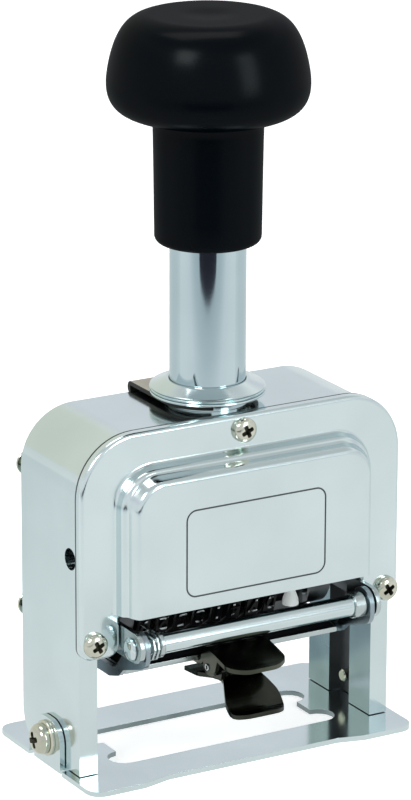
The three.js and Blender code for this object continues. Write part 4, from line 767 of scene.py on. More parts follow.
# %% The bosses and holes of its screws, and the groove round the place of the label
SCREW_PLACES = [(-37.5, 33.0), (37.5, 33.0), (0.0, 76.7)]
BOSS_RADIUS, BOSS_START = 3.3, 0.6
HOLE_RADIUS = 1.75
LABEL_HALF, LABEL_LOW, LABEL_HIGH, LABEL_CORNER = 17.9, 42.1, 62.5, 2.6
GROOVE_WIDTH, GROOVE_DEPTH = 0.4, 0.25

for x, z in SCREW_PLACES:
    combine(cover, pin_y("boss", BOSS_RADIUS, x, z, COVER["front"] + BOSS_START, COVER["back"]), "UNION")
    combine(cover, pin_y("screw_hole", HOLE_RADIUS, x, z, COVER["front"] - 1, COVER["back"] + 1))
panel_face = COVER["front"] - PANEL["rise"]
outer, inner = (block(LABEL_HALF - step, LABEL_LOW + step, LABEL_HIGH - step, LABEL_CORNER - step,
                      LABEL_CORNER - step, steps=10) for step in (0, GROOVE_WIDTH))
groove = prism("label_groove", outer, panel_face - 1, panel_face + GROOVE_DEPTH)
combine(groove, prism("label_island", inner, panel_face - 2, panel_face + 1))
combine(cover, groove)
flat_faces(cover, angle=38)
print("holes and groove cut")

# %% [markdown]
# The strip of the rim where the cover meets the arch is painted dark: painted shade in the seam.
# The floor and the walls of the label's groove are painted dark. Both are faces with a finish of
# their own. The shaded strip is cut off the rim with a plane, because a finish can only follow faces.

# %% Painted shade in the seam, and a dark groove round the place of the label
SEAM = 0.55
seam_start = COVER["back"] - SEAM
edited = bmesh.new()
edited.from_mesh(cover.data)
bmesh.ops.bisect_plane(edited, geom=edited.verts[:] + edited.edges[:] + edited.faces[:], dist=0.0001 * MM,
                       plane_co=(0, ARCH_Y + seam_start * MM, 0), plane_no=(0, 1, 0))
edited.to_mesh(cover.data)
edited.free()
dress(cover, "front_cover")
SEAM_PAINTED_SHADE = finish("seam_painted_shade", (0.16, 0.18, 0.185), (0.07, 0.08, 0.082), roughness=0.45, metallic=0.9,
                   smudge=0.2, line_depth=0.3, scale=120)
GROOVE_DARK = finish("groove_dark", (0.13, 0.14, 0.145), roughness=0.5, metallic=0.0, smudge=0.3,
                 line_depth=0.3, scale=120)


def in_seam(face):
    """The strip of the rim nearest to the arch."""
    return arch_mm(face.center).y > seam_start


def in_groove(face):
    """The floor and the walls of the label's groove."""
    x, y, z = arch_mm(face.center)
    round_label = abs(x) < LABEL_HALF + 0.2 and LABEL_LOW - 0.2 < z < LABEL_HIGH + 0.2
    return round_label and panel_face + 0.04 < y < panel_face + GROOVE_DEPTH + 0.05


# The seam strip takes the painted shade, and the groove takes its dark finish.
paint(cover, SEAM_PAINTED_SHADE, in_seam)
paint(cover, GROOVE_DARK, in_groove)
print(f"front cover: {len(cover.data.polygons)} faces")

# %% [markdown]
# The knob is one moulding: a soft crown, a rounder skirt and a sleeve that grips the tube. Its
# outline follows two power curves that were fitted to the photograph, so the widest point, the
# flat top and the shallow dimple sit where they do there.

# %% The knob
KNOB_RADIUS, KNOB_WIDEST = 22.42, 152.2
CROWN = {"height": 15.1, "across": 7, "along": 1.4, "steps": 40}
SKIRT = {"height": 8.3, "across": 5.6, "along": 2.5, "steps": 29.5, "first": 1.5}
SKIRT_END = 13.2
KNOB_TOP, DIMPLE_RIM = 166.98, 8.5


def knob_reach(share, curve):
    """The knob's radius at a share of the height of its crown or skirt."""
    return KNOB_RADIUS * (1 - share ** curve["along"]) ** (1 / curve["across"])


def turned(node, profile, steps, look=None):
    """A turned piece on the plunger's axis that replaces the node of the same name."""
    piece = lathe(node + "_fine", profile, steps)
    piece.data.transform(Matrix.Translation((0, ARCH_Y, 0)))
    return dress(piece, node, look)


sleeve = [(0, 139.1), (8.69, 139.1), (8.69, 116.2), (8.9, 115.9), *arc(10.3, 117.5, 1.6, -90, -2, steps=8),
          (11.95, 122.0), (12.02, 128.0), (12.1, 134.0), (12.18, 139.0), (12.24, 141.6), (12.32, 143.1),
          (12.6, 143.72)]
skirt = []
for step in range(28):
    fall = math.cos(math.radians(90 * (step + SKIRT["first"]) / SKIRT["steps"]))
    skirt.append((knob_reach(fall, SKIRT), KNOB_WIDEST - SKIRT["height"] * fall))
crown = []
for step in range(1, CROWN["steps"]):
    rise = math.sin(math.radians(90 * step / CROWN["steps"]))
    crown.append((knob_reach(rise, CROWN), min(KNOB_WIDEST + CROWN["height"] * rise, KNOB_TOP)))
skirt = [point for point in skirt if point[0] > SKIRT_END]
crown = [point for point in crown if point[0] > DIMPLE_RIM]
dimple = [(7.4, 167.0), (5.8, 166.96), (4.2, 166.84), (2.4, 166.68), (0, 166.6)]
turned("knob", sleeve + skirt + crown + dimple, steps=160)
print("knob turned")

# %% [markdown]
# The tube is drawn from bright stock and plated, so it is the smoothest mirror of the machine, and
# a little darker than the pressed parts. The collar in the roof is turned in two steps with fine
# grooves between them, and those grooves are what catches the light.

# %% The tube and the collar
TUBE_CHROME = finish("drawn_chrome", (0.57, 0.675, 0.705), (0.50, 0.605, 0.635), roughness=0.055,
                     smudge=0.03, line_depth=0.15, scale=40)
turned("plunger_tube", [
    (7.2, 73.95), (7.35, 73.8), (8.39, 73.8), (8.54, 73.95), (8.54, 138.7), (8.24, 139), (0, 139), (0, 137.5),
    (7.2, 137.5), (7.2, 73.95)], steps=128, look=TUBE_CHROME)
turned("guide_collar", [
    (8.69, 77.3), (9.4, 77.3), (9.4, 81.3), (9.5, 81.4), (12.75, 81.4), (12.95, 81.47),
    (13.02, 81.62), (13.02, 81.86), (12.94, 81.97), (12.5, 82.02), (12.3, 82.1), (12.5, 82.18),
    (12.92, 82.22), (13.0, 82.33), (13.0, 82.56), (12.9, 82.66), (12.45, 82.7), (12.4, 82.76),
    (12.5, 82.82), (12.86, 82.86), (12.9, 82.97), (12.8, 83.07), (12.6, 83.14), (9.7, 84.36),
    (9.45, 84.52), (9.2, 84.6), (8.85, 84.6), (8.69, 84.5), (8.69, 77.3)], steps=128)
print("tube and collar turned")

# %% [markdown]
# The rod that carries the ink arm lies across the front. It is riveted over at both ends, and its
# journals are a little thinner than the middle. Small rings keep the arm from sliding along it.

# %% The pivot rod and its rings
ROD_Y, ROD_Z = -20.8, 32.4
RING_INNER, RING_OUTER = 2.36, 2.95
ROD_END = [(2.35, 0), (2.35, 29.5), (2.2, 29.65), (1.9, 29.7), (1.9, 30.95), (2.45, 31.0), (2.6, 31.2),
           (2.6, 31.35), (2.3, 31.7), (1.6, 31.92), (0, 31.98)]


def turned_x(node, profile, y, z, look=None, steps=96):
    """A turned piece on an axis along X; the profile is (radius, x)."""
    piece = lathe(node + "_fine", profile, steps)
    place = Matrix.Translation((0, ARCH_Y + y * MM, z * MM))
    piece.data.transform(place @ Matrix.Rotation(math.radians(90), 4, "Y"))
    return dress(piece, node, look)


def ring_profile(left, right, inner, outer, roll=0.2):
    """A ring with a small round on each of its four edges."""
    return [(inner, left + roll), (inner + roll, left), (outer - roll, left), (outer, left + roll),
            (outer, right - roll), (outer - roll, right), (inner + roll, right), (inner, right - roll),
            (inner, left + roll)]


left_half = [(radius, -x) for radius, x in ROD_END]
turned_x("pivot_rod", left_half[::-1] + ROD_END[1:], ROD_Y, ROD_Z)
turned_x("rod_ring_left", ring_profile(-24.9, -23.8, RING_INNER, RING_OUTER), ROD_Y, ROD_Z)
turned_x("rod_ring_right", ring_profile(25.2, 28.0, RING_INNER, RING_OUTER), ROD_Y, ROD_Z)
print("rod turned")

# %% [markdown]
# The arch is a bent strip with a post in each corner. Its shoulders are wide curves, so they get
# many small steps, and the flat walls stay flat. The heel of each wall is rounded behind, the neck
# hole takes the collar, and a small hole goes through the left wall. The groove between the posts
# guides the carriage.

# %% The arch
HALF = 40.0
ARCH_FRONT, ARCH_BACK = -13.4, 13.4
LEG = 1.4
WALL, ROOF = 1.5, 2.0
SHOULDER, SHOULDER_STEPS = 13.0, 24
POST_INNER, POST_DEPTH, POST_CUT_TOP = 35.5, 9.0, 90
HEEL = 8.0
OVERLAP = 0.01
NECK_RADIUS = 9.55
SIDE_HOLE_RADIUS, SIDE_HOLE_Y, SIDE_HOLE_Z = 2.5, -9.5, 51.4

shell = block(HALF, LEG, ROOF_TOP, 0, SHOULDER, SHOULDER_STEPS)
hollow = block(HALF - WALL, LEG - 1, ROOF_TOP - ROOF, 0, SHOULDER - WALL, SHOULDER_STEPS)
arch = prism("housing_shell_fine", shell, ARCH_FRONT, ARCH_BACK)
slot_front, slot_back = ARCH_FRONT + POST_DEPTH, ARCH_BACK - POST_DEPTH
combine(arch, prism("arch_slot", hollow, slot_front, slot_back))
for front, back in ((ARCH_FRONT - 1, slot_front + OVERLAP), (slot_back - OVERLAP, ARCH_BACK + 1)):
    between = prism("between_posts", hollow, front, back)
    gap = box_solid("post_gap", (-POST_INNER, front - 1, 0), (POST_INNER, back + 1, POST_CUT_TOP))
    combine(between, gap, "INTERSECT")
    combine(arch, between)
for left, right in ((-HALF - 1, WALL - HALF), (HALF - WALL, HALF + 1)):
    heel = box_solid("heel_corner", (left, ARCH_BACK - HEEL, LEG - 1), (right, ARCH_BACK + 1, LEG + HEEL))
    combine(heel, pin_x("heel_round", HEEL, ARCH_BACK - HEEL, LEG + HEEL, left - 1, right + 1, steps=96))
    combine(arch, heel)
combine(arch, slab("neck_hole", circle(0, 0, NECK_RADIUS, steps=96), ROOF_TOP - 4, ROOF_TOP + 1))
combine(arch, pin_x("side_hole", SIDE_HOLE_RADIUS, SIDE_HOLE_Y, SIDE_HOLE_Z, -HALF - 1, 1 - POST_INNER))
merge_flats(arch.data, angle=0.5)
bevelled(arch, width=0.25 * MM, segments=3, angle=40)
print("arch bent, posts and heel cut")

# %% The screw holes of the arch
FOOT_HOLE_Y, FOOT_HOLE_Z, FOOT_HOLE_REACH = -0.5, 6.6, 2.5
POST_HOLE_DEPTH, HOLE_START = 5.7, 0.5
for side, (x, z) in zip((-1, 1), SCREW_PLACES):
    left, right = side * HALF - FOOT_HOLE_REACH, side * HALF + FOOT_HOLE_REACH
    combine(arch, pin_x("foot_hole", HOLE_RADIUS, FOOT_HOLE_Y, FOOT_HOLE_Z, left, right))
    for front, back in ((ARCH_FRONT - HOLE_START, ARCH_FRONT + POST_HOLE_DEPTH),
                        (ARCH_BACK - POST_HOLE_DEPTH, ARCH_BACK + HOLE_START)):
        combine(arch, pin_y("post_hole", HOLE_RADIUS, x, z, front, back))
flat_faces(arch, angle=35)
dress(arch, "housing_shell")
print("arch drilled")

# %% [markdown]
# Two parts of the arch are painted darker. The walls of the groove that guides the carriage carry
# painted shade, and the inner faces of the posts carry a darker, rougher plating: painted shade inside the
# arch.

# %% Painted shade in the groove and on the posts
GUIDE_PAINTED_SHADE = finish("guide_painted_shade", (0.2, 0.21, 0.215), (0.1, 0.105, 0.11), roughness=0.4, smudge=0.12)
POST_PAINTED_SHADE = finish("post_painted_shade", (0.47, 0.585, 0.62), (0.33, 0.425, 0.455), roughness=0.24,
                      line_depth=0.3, scale=60)


def in_guide(face):
    """The groove between the posts, below the shoulders."""
    x, y, z = arch_mm(face.center)
    between_posts = POST_INNER + 0.2 < abs(x) < HALF - WALL + 0.05
    return between_posts and abs(y) < slot_back + 0.1 and z < ROOF_TOP - SHOULDER


def on_post(face):
    """The inner face of a post, below the shoulders."""
    x, _, z = arch_mm(face.center)
    return abs(abs(x) - POST_INNER) < 0.05 and z < ROOF_TOP - SHOULDER


# Both finishes are painted shade: the groove's walls and the posts' inner faces are coloured darker.
paint(arch, GUIDE_PAINTED_SHADE, in_guide)
paint(arch, POST_PAINTED_SHADE, on_post)
print(f"arch: {len(arch.data.polygons)} faces")

# %% [markdown]
# All the screws are one drawing at two sizes: a pan head turned on the lathe, with a cross recess
# that narrows toward its floor as a real one does. The recess is cut with two crossed wedges. The
# head is made facing up and then turned to face the way its screw faces. The walls of the recess
# carry a darker finish: painted shade in the recess.

# %% The drawing of a screw
# Painted shade for recesses: the walls of the cross recess, and the rivet's hole, are coloured dark.
RECESS_PAINTED_SHADE = finish("recess_painted_shade", (0.20, 0.19, 0.14), (0.03, 0.03, 0.022), roughness=0.5, metallic=0.85,
               smudge=0.3, line_depth=0.0, scale=300, bump=0.3)
SHANK, SHANK_TIP, SHANK_BEVEL = 1.45, 0.8, 0.3
SEAT_SHARE, RIM_HEIGHT = 0.96, 0.12
FLAT_SHARE, WALL_SHARE = 0.30, 0.3
DOME_STEPS, DOME_CURVE = 14, 0.85
CROSS_SPAN, CROSS_WIDTH, CROSS_DEPTH = 1.08, 0.36, 0.85
CROSS_FLOOR, CROSS_TOP = (0.8, 0.835), (1.052, 1.024)
CROSS_ROUND, CROSS_CLEAR = 0.7, 0.4
SHADE_REACH, SHADE_SINK = 0.72, 0.12


def cross_cutters(radius, height):
    """Two crossed wedges, wide above the head and narrower at the floor of the recess."""
    cutters = []
    rings = []
    floor_height = height - height * CROSS_DEPTH
    for level, (span_share, width_share) in ((floor_height, CROSS_FLOOR), (height + CROSS_CLEAR, CROSS_TOP)):
        half_span = radius * CROSS_SPAN / 2 * span_share
        half_width = radius * CROSS_WIDTH / 2 * width_share
        corner = half_width * CROSS_ROUND
        outline = block(half_span, -half_width, half_width, corner, corner, steps=4)
        rings.append([(x * MM, y * MM, level * MM) for x, y in outline])
    for quarter in (0, 90):
        edited = bmesh.new()
        bridge(edited, rings)
        bmesh.ops.rotate(edited, verts=edited.verts, matrix=Matrix.Rotation(math.radians(quarter), 3, "Z"))
        cutters.append(from_bmesh("cross", edited))
    return cutters


def dome(radius, height, share):
    """The height of the head's surface at a share of its radius."""
    past_flat = max(share - FLAT_SHARE, 0) / (1 - FLAT_SHARE)
    return height * (WALL_SHARE + (1 - WALL_SHARE) * math.sqrt(max(0, 1 - past_flat ** 2)))


def screw_head(name, radius, height, length, turn):
    """A pan-head screw whose seat is at the origin and whose head points along Z."""
    profile = [(0, -length), (SHANK * SHANK_TIP, -length), (SHANK, -length + SHANK_BEVEL), (SHANK, 0),
               (radius * SEAT_SHARE, 0), (radius, RIM_HEIGHT), (radius, height * WALL_SHARE)]
    for step in range(1, DOME_STEPS + 1):
        angle = math.radians(90 * step / DOME_STEPS)
        reach = radius * (FLAT_SHARE + (1 - FLAT_SHARE) * math.cos(angle) ** DOME_CURVE)
        profile.append((reach, height * (WALL_SHARE + (1 - WALL_SHARE) * math.sin(angle))))
    profile.append((0, height))
    head = lathe(name, profile, steps=64)
    for cutter in cross_cutters(radius, height):
        combine(head, cutter)
    # Faces sunk inside the recess take the second slot, the painted shade.
    for face in head.data.polygons:
        share = math.hypot(face.center.x, face.center.y) / MM / radius
        sunk = 0 < face.center.z / MM < dome(radius, height, share) - SHADE_SINK
        face.material_index = 1 if share < SHADE_REACH and sunk else 0
    head.data.transform(Matrix.Rotation(math.radians(turn), 4, "Z"))
    return head


print("screw drawn")

# %% Set the screws, each as (the way it faces, the turn of its slot)
# Each way of facing is (the axis and the angle of the turn, the axis it looks along, its sense).
FACING = {"front": ("X", 90, 1, -1), "back": ("X", -90, 1, 1),
          "left": ("Y", -90, 0, -1), "right": ("Y", 90, 0, 1)}
SCREWS = {"cover_screw_left": ("front", 28), "cover_screw_right": ("front", 32),
          "cover_screw_top": ("front", 24), "rear_screw_1": ("back", 10), "rear_screw_2": ("back", 50),
          "rear_screw_3": ("back", 75), "rear_screw_4": ("back", 35), "selector_screw": ("back", 60),
          "foot_screw_left": ("left", 20), "foot_screw_right": ("right", 20)}
HEAD_RADIUS, HEAD_HEIGHT, REAR_HEAD_HEIGHT = 2.85, 1.9, 1.1
FOOT_HEAD_RADIUS, FOOT_HEAD_HEIGHT, FOOT_LONGER = 3.5, 2.6, 2.2


def place_screw(node, radius, head_room, height, longer):
    """Stands a screw in the place of its node; head_room is the height of the measured head."""
    facing, turn = SCREWS[node]
    about, degrees, axis, sense = FACING[facing]
    low, high = (Vector(corner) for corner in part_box(node))
    length = (high[axis] - low[axis]) / MM - head_room + longer
    head = screw_head(node + "_fine", radius, height, length, turn)
    seat = (low + high) / 2
    seat[axis] = (high if sense > 0 else low)[axis] - sense * head_room * MM
    head.data.transform(Matrix.Rotation(math.radians(degrees), 4, about))
    head.data.transform(Matrix.Translation(seat))
    flat_faces(head, angle=40)
    sunk = [face.material_index for face in head.data.polygons]
    dress(head, node)
    head.data.materials.append(RECESS_PAINTED_SHADE)
    head.data.polygons.foreach_set("material_index", sunk)


for node in SCREWS:
    if node.startswith("foot"):
        place_screw(node, FOOT_HEAD_RADIUS, FOOT_HEAD_HEIGHT, FOOT_HEAD_HEIGHT, FOOT_LONGER)
    else:
        place_screw(node, HEAD_RADIUS, HEAD_HEIGHT, REAR_HEAD_HEIGHT if "rear" in node else HEAD_HEIGHT, 0)
print(f"{len(SCREWS)} screws set")

# %% [markdown]
# Each number wheel is a drum with ten flats, and each flat carries one raised numeral, mirrored
# the way a stamp is. The numerals come from Blender's own plain font. The wheels are black with
# ink, and only the cross strokes of the numerals get a painted highlight, so a second shader group
# finds how far a point lies from the axle and how far round it lies between two numerals.

# %% Shared effect: painted highlights on the strokes of a turning piece
WHEEL_Y, WHEEL_Z = -0.65, 35.1
NUMERALS = 10
STROKE_FROM_MIDDLE = 0.27
STROKE_EDGE, STROKE_CORE = 0.05, 0.03
PATCH_SCALE, PATCH_LOW, PATCH_HIGH = 900.0, 0.38, 0.56

strokes = bpy.data.node_groups.new("stroke_painted_highlight", "ShaderNodeTree")
group_sockets(strokes, {"Axis Y": 0.0, "Axis Z": 0.0, "Start": 0.0, "End": 1.0}, ("Mask",))
given = strokes.nodes.new("NodeGroupInput").outputs
results = strokes.nodes.new("NodeGroupOutput").inputs
spot = new_node(strokes, "ShaderNodeTexCoord").outputs["Object"]
parts = new_node(strokes, "ShaderNodeSeparateXYZ")
strokes.links.new(spot, parts.inputs[0])
across = maths(strokes, "SUBTRACT", parts.outputs["Y"], given["Axis Y"])
above = maths(strokes, "SUBTRACT", parts.outputs["Z"], given["Axis Z"])
across_square = maths(strokes, "MULTIPLY", across, across)
square = maths(strokes, "ADD", across_square, maths(strokes, "MULTIPLY", above, above))
outermost = strokes.nodes.new("ShaderNodeMapRange")
outermost.interpolation_type = "SMOOTHSTEP"
strokes.links.new(maths(strokes, "SQRT", square), outermost.inputs["Value"])
strokes.links.new(given["Start"], outermost.inputs["From Min"])
strokes.links.new(given["End"], outermost.inputs["From Max"])
kept = map_range(strokes, noise(strokes, spot, PATCH_SCALE, 2.0), PATCH_LOW, PATCH_HIGH)
# One turn holds ten numerals; the strokes lie at the middle of a share and near both its ends.
share = maths(strokes, "MULTIPLY", maths(strokes, "ARCTAN2", across, above), NUMERALS / (2 * math.pi))
from_middle = maths(strokes, "SUBTRACT", maths(strokes, "FRACT", share), 0.5)
from_middle = maths(strokes, "ABSOLUTE", from_middle)
from_end = maths(strokes, "ABSOLUTE", maths(strokes, "SUBTRACT", from_middle, STROKE_FROM_MIDDLE))
stroke = map_range(strokes, maths(strokes, "MINIMUM", from_middle, from_end), STROKE_EDGE, STROKE_CORE)
highlighted = maths(strokes, "MULTIPLY", outermost.outputs["Result"], kept)
strokes.links.new(maths(strokes, "MULTIPLY", highlighted, stroke), results["Mask"])
print("group stroke_painted_highlight built")

# %% Paint highlights on the strokes of the wheels
HIGHLIGHT_START, HIGHLIGHT_END = 9.42, 9.47
HIGHLIGHT_COLOUR = (0.85, 0.88, 0.88)


def base_colour(look):
    """The base colour socket of a finish, and what drives it now."""
    socket = look.node_tree.nodes["Principled BSDF"].inputs["Base Color"]
    return socket, socket.links[0].from_socket


tree = FINISHES["wheel_enamel"].node_tree
stroke_highlight = tree.nodes.new("ShaderNodeGroup")
stroke_highlight.node_tree = strokes
stroke_highlight.inputs["Axis Y"].default_value = WHEEL_Y * MM + ARCH_Y
stroke_highlight.inputs["Axis Z"].default_value = WHEEL_Z * MM
stroke_highlight.inputs["Start"].default_value = HIGHLIGHT_START * MM
stroke_highlight.inputs["End"].default_value = HIGHLIGHT_END * MM
socket, enamel = base_colour(FINISHES["wheel_enamel"])
# Painted highlight: the cross strokes of the numerals are mixed toward near white, in patches.
tree.links.new(blend_colours(tree, stroke_highlight.outputs["Mask"], enamel, HIGHLIGHT_COLOUR), socket)
print("wheel enamel rubbed")

# %% The numerals
NUMERAL_WIDTH, NUMERAL_LENGTH, WIDEST_STRETCH = 2.35, 3.5, 1.05
NUMERAL_DEPTH, NUMERAL_CURVE_STEPS = 0.5, 3


def numeral_mesh(digit):
    """One plain numeral as a solid, centred, mirrored and sized in millimetres."""
    text = bpy.data.curves.new(f"numeral_{digit}", "FONT")
    text.body = str(digit)
    text.extrude = NUMERAL_DEPTH
    text.resolution_u = NUMERAL_CURVE_STEPS
    holder = in_scene(f"numeral_{digit}", text)
    bpy.context.view_layer.update()
    mesh = bpy.data.meshes.new_from_object(holder.evaluated_get(bpy.context.evaluated_depsgraph_get()))
    bpy.data.objects.remove(holder)
    bpy.data.curves.remove(text)
    xs = [vertex.co.x for vertex in mesh.vertices]
    ys = [vertex.co.y for vertex in mesh.vertices]
    middle = Vector(((min(xs) + max(xs)) / 2, (min(ys) + max(ys)) / 2, 0))
    tall = NUMERAL_LENGTH / (max(ys) - min(ys))
    wide = min(tall * WIDEST_STRETCH, NUMERAL_WIDTH / (max(xs) - min(xs)))
    for vertex in mesh.vertices:
        offset = vertex.co - middle
        vertex.co = Vector((-offset.x * wide, offset.y * tall, offset.z))
    mesh.flip_normals()
    return mesh


numerals = [numeral_mesh(digit) for digit in range(NUMERALS)]
print(f"{NUMERALS} numerals cut")

# %% [markdown]
# A wheel could be modelled flat and bent, but its drum really is a prism with ten sides. So it is
# lofted along the axle, the ratchet that the pawl turns is joined to its right face, and the axle's
# bore is cut. The ten numerals are then wrapped on the flats, each at its own tenth of a turn.

# %% The eight wheels
WHEEL_RADIUS, WHEEL_FLAT, NUMERAL_ROOT = 9.5, 8.95, 0.2
DRUM_WIDTH = 3.25
DRUM_ROUND = 0.5
DRUM_ROWS = [(8.0, 0.35), (8.35, 0.05), (8.75, 0), (WHEEL_FLAT, 0.2), (WHEEL_FLAT, 3.05),
             (8.75, DRUM_WIDTH), (8.0, DRUM_WIDTH)]
RATCHET = {"root": 5.8, "tip": 7.3, "root_round": 0.3, "tip_round": 0.2, "lean": 0.12,
           "start": 2.75, "end": 4.25}
BORE_RADIUS, BORE_END = 3.6, 5.5


def round_axle(turns, radius):
    """The point at a number of numerals round the axle, measured from straight down."""
    angle = 2 * math.pi * turns / NUMERALS
    return radius * math.sin(angle), -radius * math.cos(angle)


def on_axle(outline, x):
    """Moves a (y, z) outline round the origin to the axle of the wheels."""
    return [(x, y + WHEEL_Y, z + WHEEL_Z) for y, z in outline]


def drum_ring(flat, x):
    """A decagon with soft corners, given by the distance of its flats."""
    corner = flat / math.cos(math.pi / NUMERALS)
    points = [(*round_axle(index + 0.5, corner), DRUM_ROUND) for index in range(NUMERALS)]
    return on_axle(rounded(points, steps=3), x)


def ratchet_outline():
    """Ten teeth, each with its tip a little ahead of its root."""
    corners = []
    for index in range(NUMERALS):
        corners.append((*round_axle(index, RATCHET["root"]), RATCHET["root_round"]))
        corners.append((*round_axle(index + RATCHET["lean"], RATCHET["tip"]), RATCHET["tip_round"]))
    return rounded(corners, steps=3)


def wrap_numeral(edited, mesh, step, middle):
    """Adds a numeral to the wheel's bmesh, standing on the flat of its step."""
    before = len(edited.verts)
    edited.from_mesh(mesh)
    edited.verts.ensure_lookup_table()
    angle = 2 * math.pi * step / NUMERALS
    for vertex in edited.verts[before:]:
        reach = WHEEL_RADIUS if vertex.co.z > 0 else WHEEL_FLAT - NUMERAL_ROOT
        y = vertex.co.y * math.cos(angle) + reach * math.sin(angle)
        z = vertex.co.y * math.sin(angle) - reach * math.cos(angle)
        place = ((middle + vertex.co.x) * MM, (y + WHEEL_Y) * MM + ARCH_Y, (z + WHEEL_Z) * MM)
        vertex.co = Vector(place)


def number_wheel(node, first):
    """A wheel whose lowest numeral is the first one given."""
    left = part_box(node)[0][0] / MM
    wheel = loft(node + "_fine", [drum_ring(flat, left + x) for flat, x in DRUM_ROWS])
    teeth = [on_axle(ratchet_outline(), left + x) for x in (RATCHET["start"], RATCHET["end"])]
    combine(wheel, loft("ratchet", teeth), "UNION")
    combine(wheel, pin_x("bore", BORE_RADIUS, WHEEL_Y, WHEEL_Z, left - 1, left + BORE_END, steps=40))
    edited = bmesh.new()
    edited.from_mesh(wheel.data)
    for step in range(NUMERALS):
        wrap_numeral(edited, numerals[(first + step) % NUMERALS], step, left + DRUM_WIDTH / 2)
    edited.to_mesh(wheel.data)
    edited.free()
    flat_faces(wheel, angle=30)
    dress(wheel, node)


for place_index in range(8):
    number_wheel(f"number_wheel_{place_index + 1}", (place_index * 3 + 1) % NUMERALS)
for mesh in numerals:
    bpy.data.meshes.remove(mesh)
print("eight number wheels built")

# %% [markdown]
# Beside the wheels the axle carries plain drums, a feed flange and a half cam under the pawl. Their
# dark faces fill the mouth of the cover, and the rim of the flange catches a thin line of light.
# All the works inside the arch share one finish. They are the same plated steel as outside,
# painted darker as the shade inside the arch.

# %% Axle pieces
# Painted shade: the works inside the arch are the plated steel coloured dark.
WORKS_PAINTED_SHADE = finish("works_painted_shade", (0.16, 0.17, 0.175), (0.09, 0.095, 0.1), roughness=0.34, smudge=0.12, scale=110)
AXLE_BORE = 3.62
CAM_RADIUS = 8.6
FEED_PROFILE = [(AXLE_BORE, 20.2), (4.6, 20.2), (4.6, 20.55), (8.9, 20.6), (9.2, 20.75), (9.2, 21.25),
                (8.9, 21.4), (7.9, 21.5), (7.9, 27.6), (7.6, 27.9), (4.6, 27.9), (4.6, 33.1),
                (AXLE_BORE, 33.1), (AXLE_BORE, 20.2)]
DRUM_PROFILE = [(AXLE_BORE, -33.1), (4.6, -33.1), (4.6, -27.9), (7.6, -27.9), (7.9, -27.6), (7.9, -23.5),
                (7.6, -23.2), (AXLE_BORE, -23.2), (AXLE_BORE, -33.1)]
feed_ring = ring_profile(14.3, 18.4, AXLE_BORE, 6.6, roll=0.25)
feed_ring = turned_x("axle_spacer_middle", feed_ring, WHEEL_Y, WHEEL_Z, WORKS_PAINTED_SHADE)
feed_cam = pin_x("feed_cam", CAM_RADIUS, WHEEL_Y, WHEEL_Z, 14.5, 18.2)
combine(feed_cam, box_solid("cam_half", (14, WHEEL_Y - 4.2, 20), (19, WHEEL_Y + 9, 33)), "INTERSECT")
combine(feed_ring, feed_cam, "UNION")
turned_x("axle_spacer_right", FEED_PROFILE, WHEEL_Y, WHEEL_Z, WORKS_PAINTED_SHADE)
turned_x("axle_spacer_left", DRUM_PROFILE, WHEEL_Y, WHEEL_Z, WORKS_PAINTED_SHADE)
print("axle drums turned")

# %% [markdown]
# The lock plate under the collar is bent from one sheet: a plate round the tube with a lip down
# behind. It is made from the flat part and a bent strip, joined and then cut with the slot that
# lets it slide. Its top is a light brown, and its edges and underside carry painted shade, so its
# finish looks at the direction of each face.

# %% Lock plate
PLATE_TOP, PLATE_BOTTOM, LIP_END = 81.2, 80.2, 76.6
PLATE_HALF, PLATE_REAR, PLATE_SLOT = 11.4, 16.2, 9.6
PLATE_STRAIGHT, STRIP_START, SLOT_TRAVEL = 9.0, 7.5, 2
PLATE_CLEAR = 0.8
LIP_THICKNESS, LIP_CORNER, BEND_INNER, BEND_OUTER = 1.2, 3, 0.25, 1.45
STEEP, LEVEL = 0.3, 0.85
SIDE_PAINTED_SHADE = (0.03, 0.03, 0.026)
BROWN_WITH_PAINTED_SHADE = finish("brown_with_painted_shade", (0.52, 0.49, 0.40), (0.38, 0.35, 0.28), roughness=0.4, metallic=0.8,
                      smudge=0.12, line_depth=0.5, scale=130)


def cut_edges(look, dark):
    """Paints shade on the faces of a sheet that don't look up: its edges and underside take the dark colour.
    """
    tree = look.node_tree
    parts = new_node(tree, "ShaderNodeSeparateXYZ")
    tree.links.new(tree.nodes.new("ShaderNodeNewGeometry").outputs["True Normal"], parts.inputs[0])
    upward = map_range(tree, parts.outputs["Z"], STEEP, LEVEL)
    socket, top_colour = base_colour(look)
    tree.links.new(blend_colours(tree, upward, dark, top_colour), socket)
    return look


nose = arc(0, 0, PLATE_HALF, 180, 360, steps=56)
flat_part = [(-PLATE_HALF, PLATE_STRAIGHT), *nose, (PLATE_HALF, PLATE_STRAIGHT)]
plate = slab("lock_plate_fine", flat_part, PLATE_BOTTOM, PLATE_TOP)
lip_front = PLATE_REAR - LIP_THICKNESS
section = rounded([(STRIP_START, PLATE_TOP, 0), (STRIP_START, PLATE_BOTTOM, 0),
                   (lip_front, PLATE_BOTTOM, BEND_INNER), (lip_front, LIP_END, 0),
                   (PLATE_REAR, LIP_END, 0), (PLATE_REAR, PLATE_TOP, BEND_OUTER)], steps=6)
strip = loft("strip", [[(x, y, z) for y, z in section] for x in (-PLATE_HALF, PLATE_HALF)])
keep = block(PLATE_HALF + OVERLAP, LIP_END - OVERLAP, PLATE_TOP + PLATE_CLEAR, LIP_CORNER, 0, steps=8)
combine(strip, prism("keep", keep, 5, 18), "INTERSECT")
combine(plate, strip, "UNION")
slot = arc(0, 0, PLATE_SLOT, 0, 180, steps=36)
slot += arc(0, -SLOT_TRAVEL, PLATE_SLOT, 180, 360, steps=36)
combine(plate, slab("slot", slot, PLATE_BOTTOM - PLATE_CLEAR, PLATE_TOP + PLATE_CLEAR))
merge_flats(plate.data, angle=0.3)
bevelled(plate, width=0.12 * MM, segments=2, angle=40)
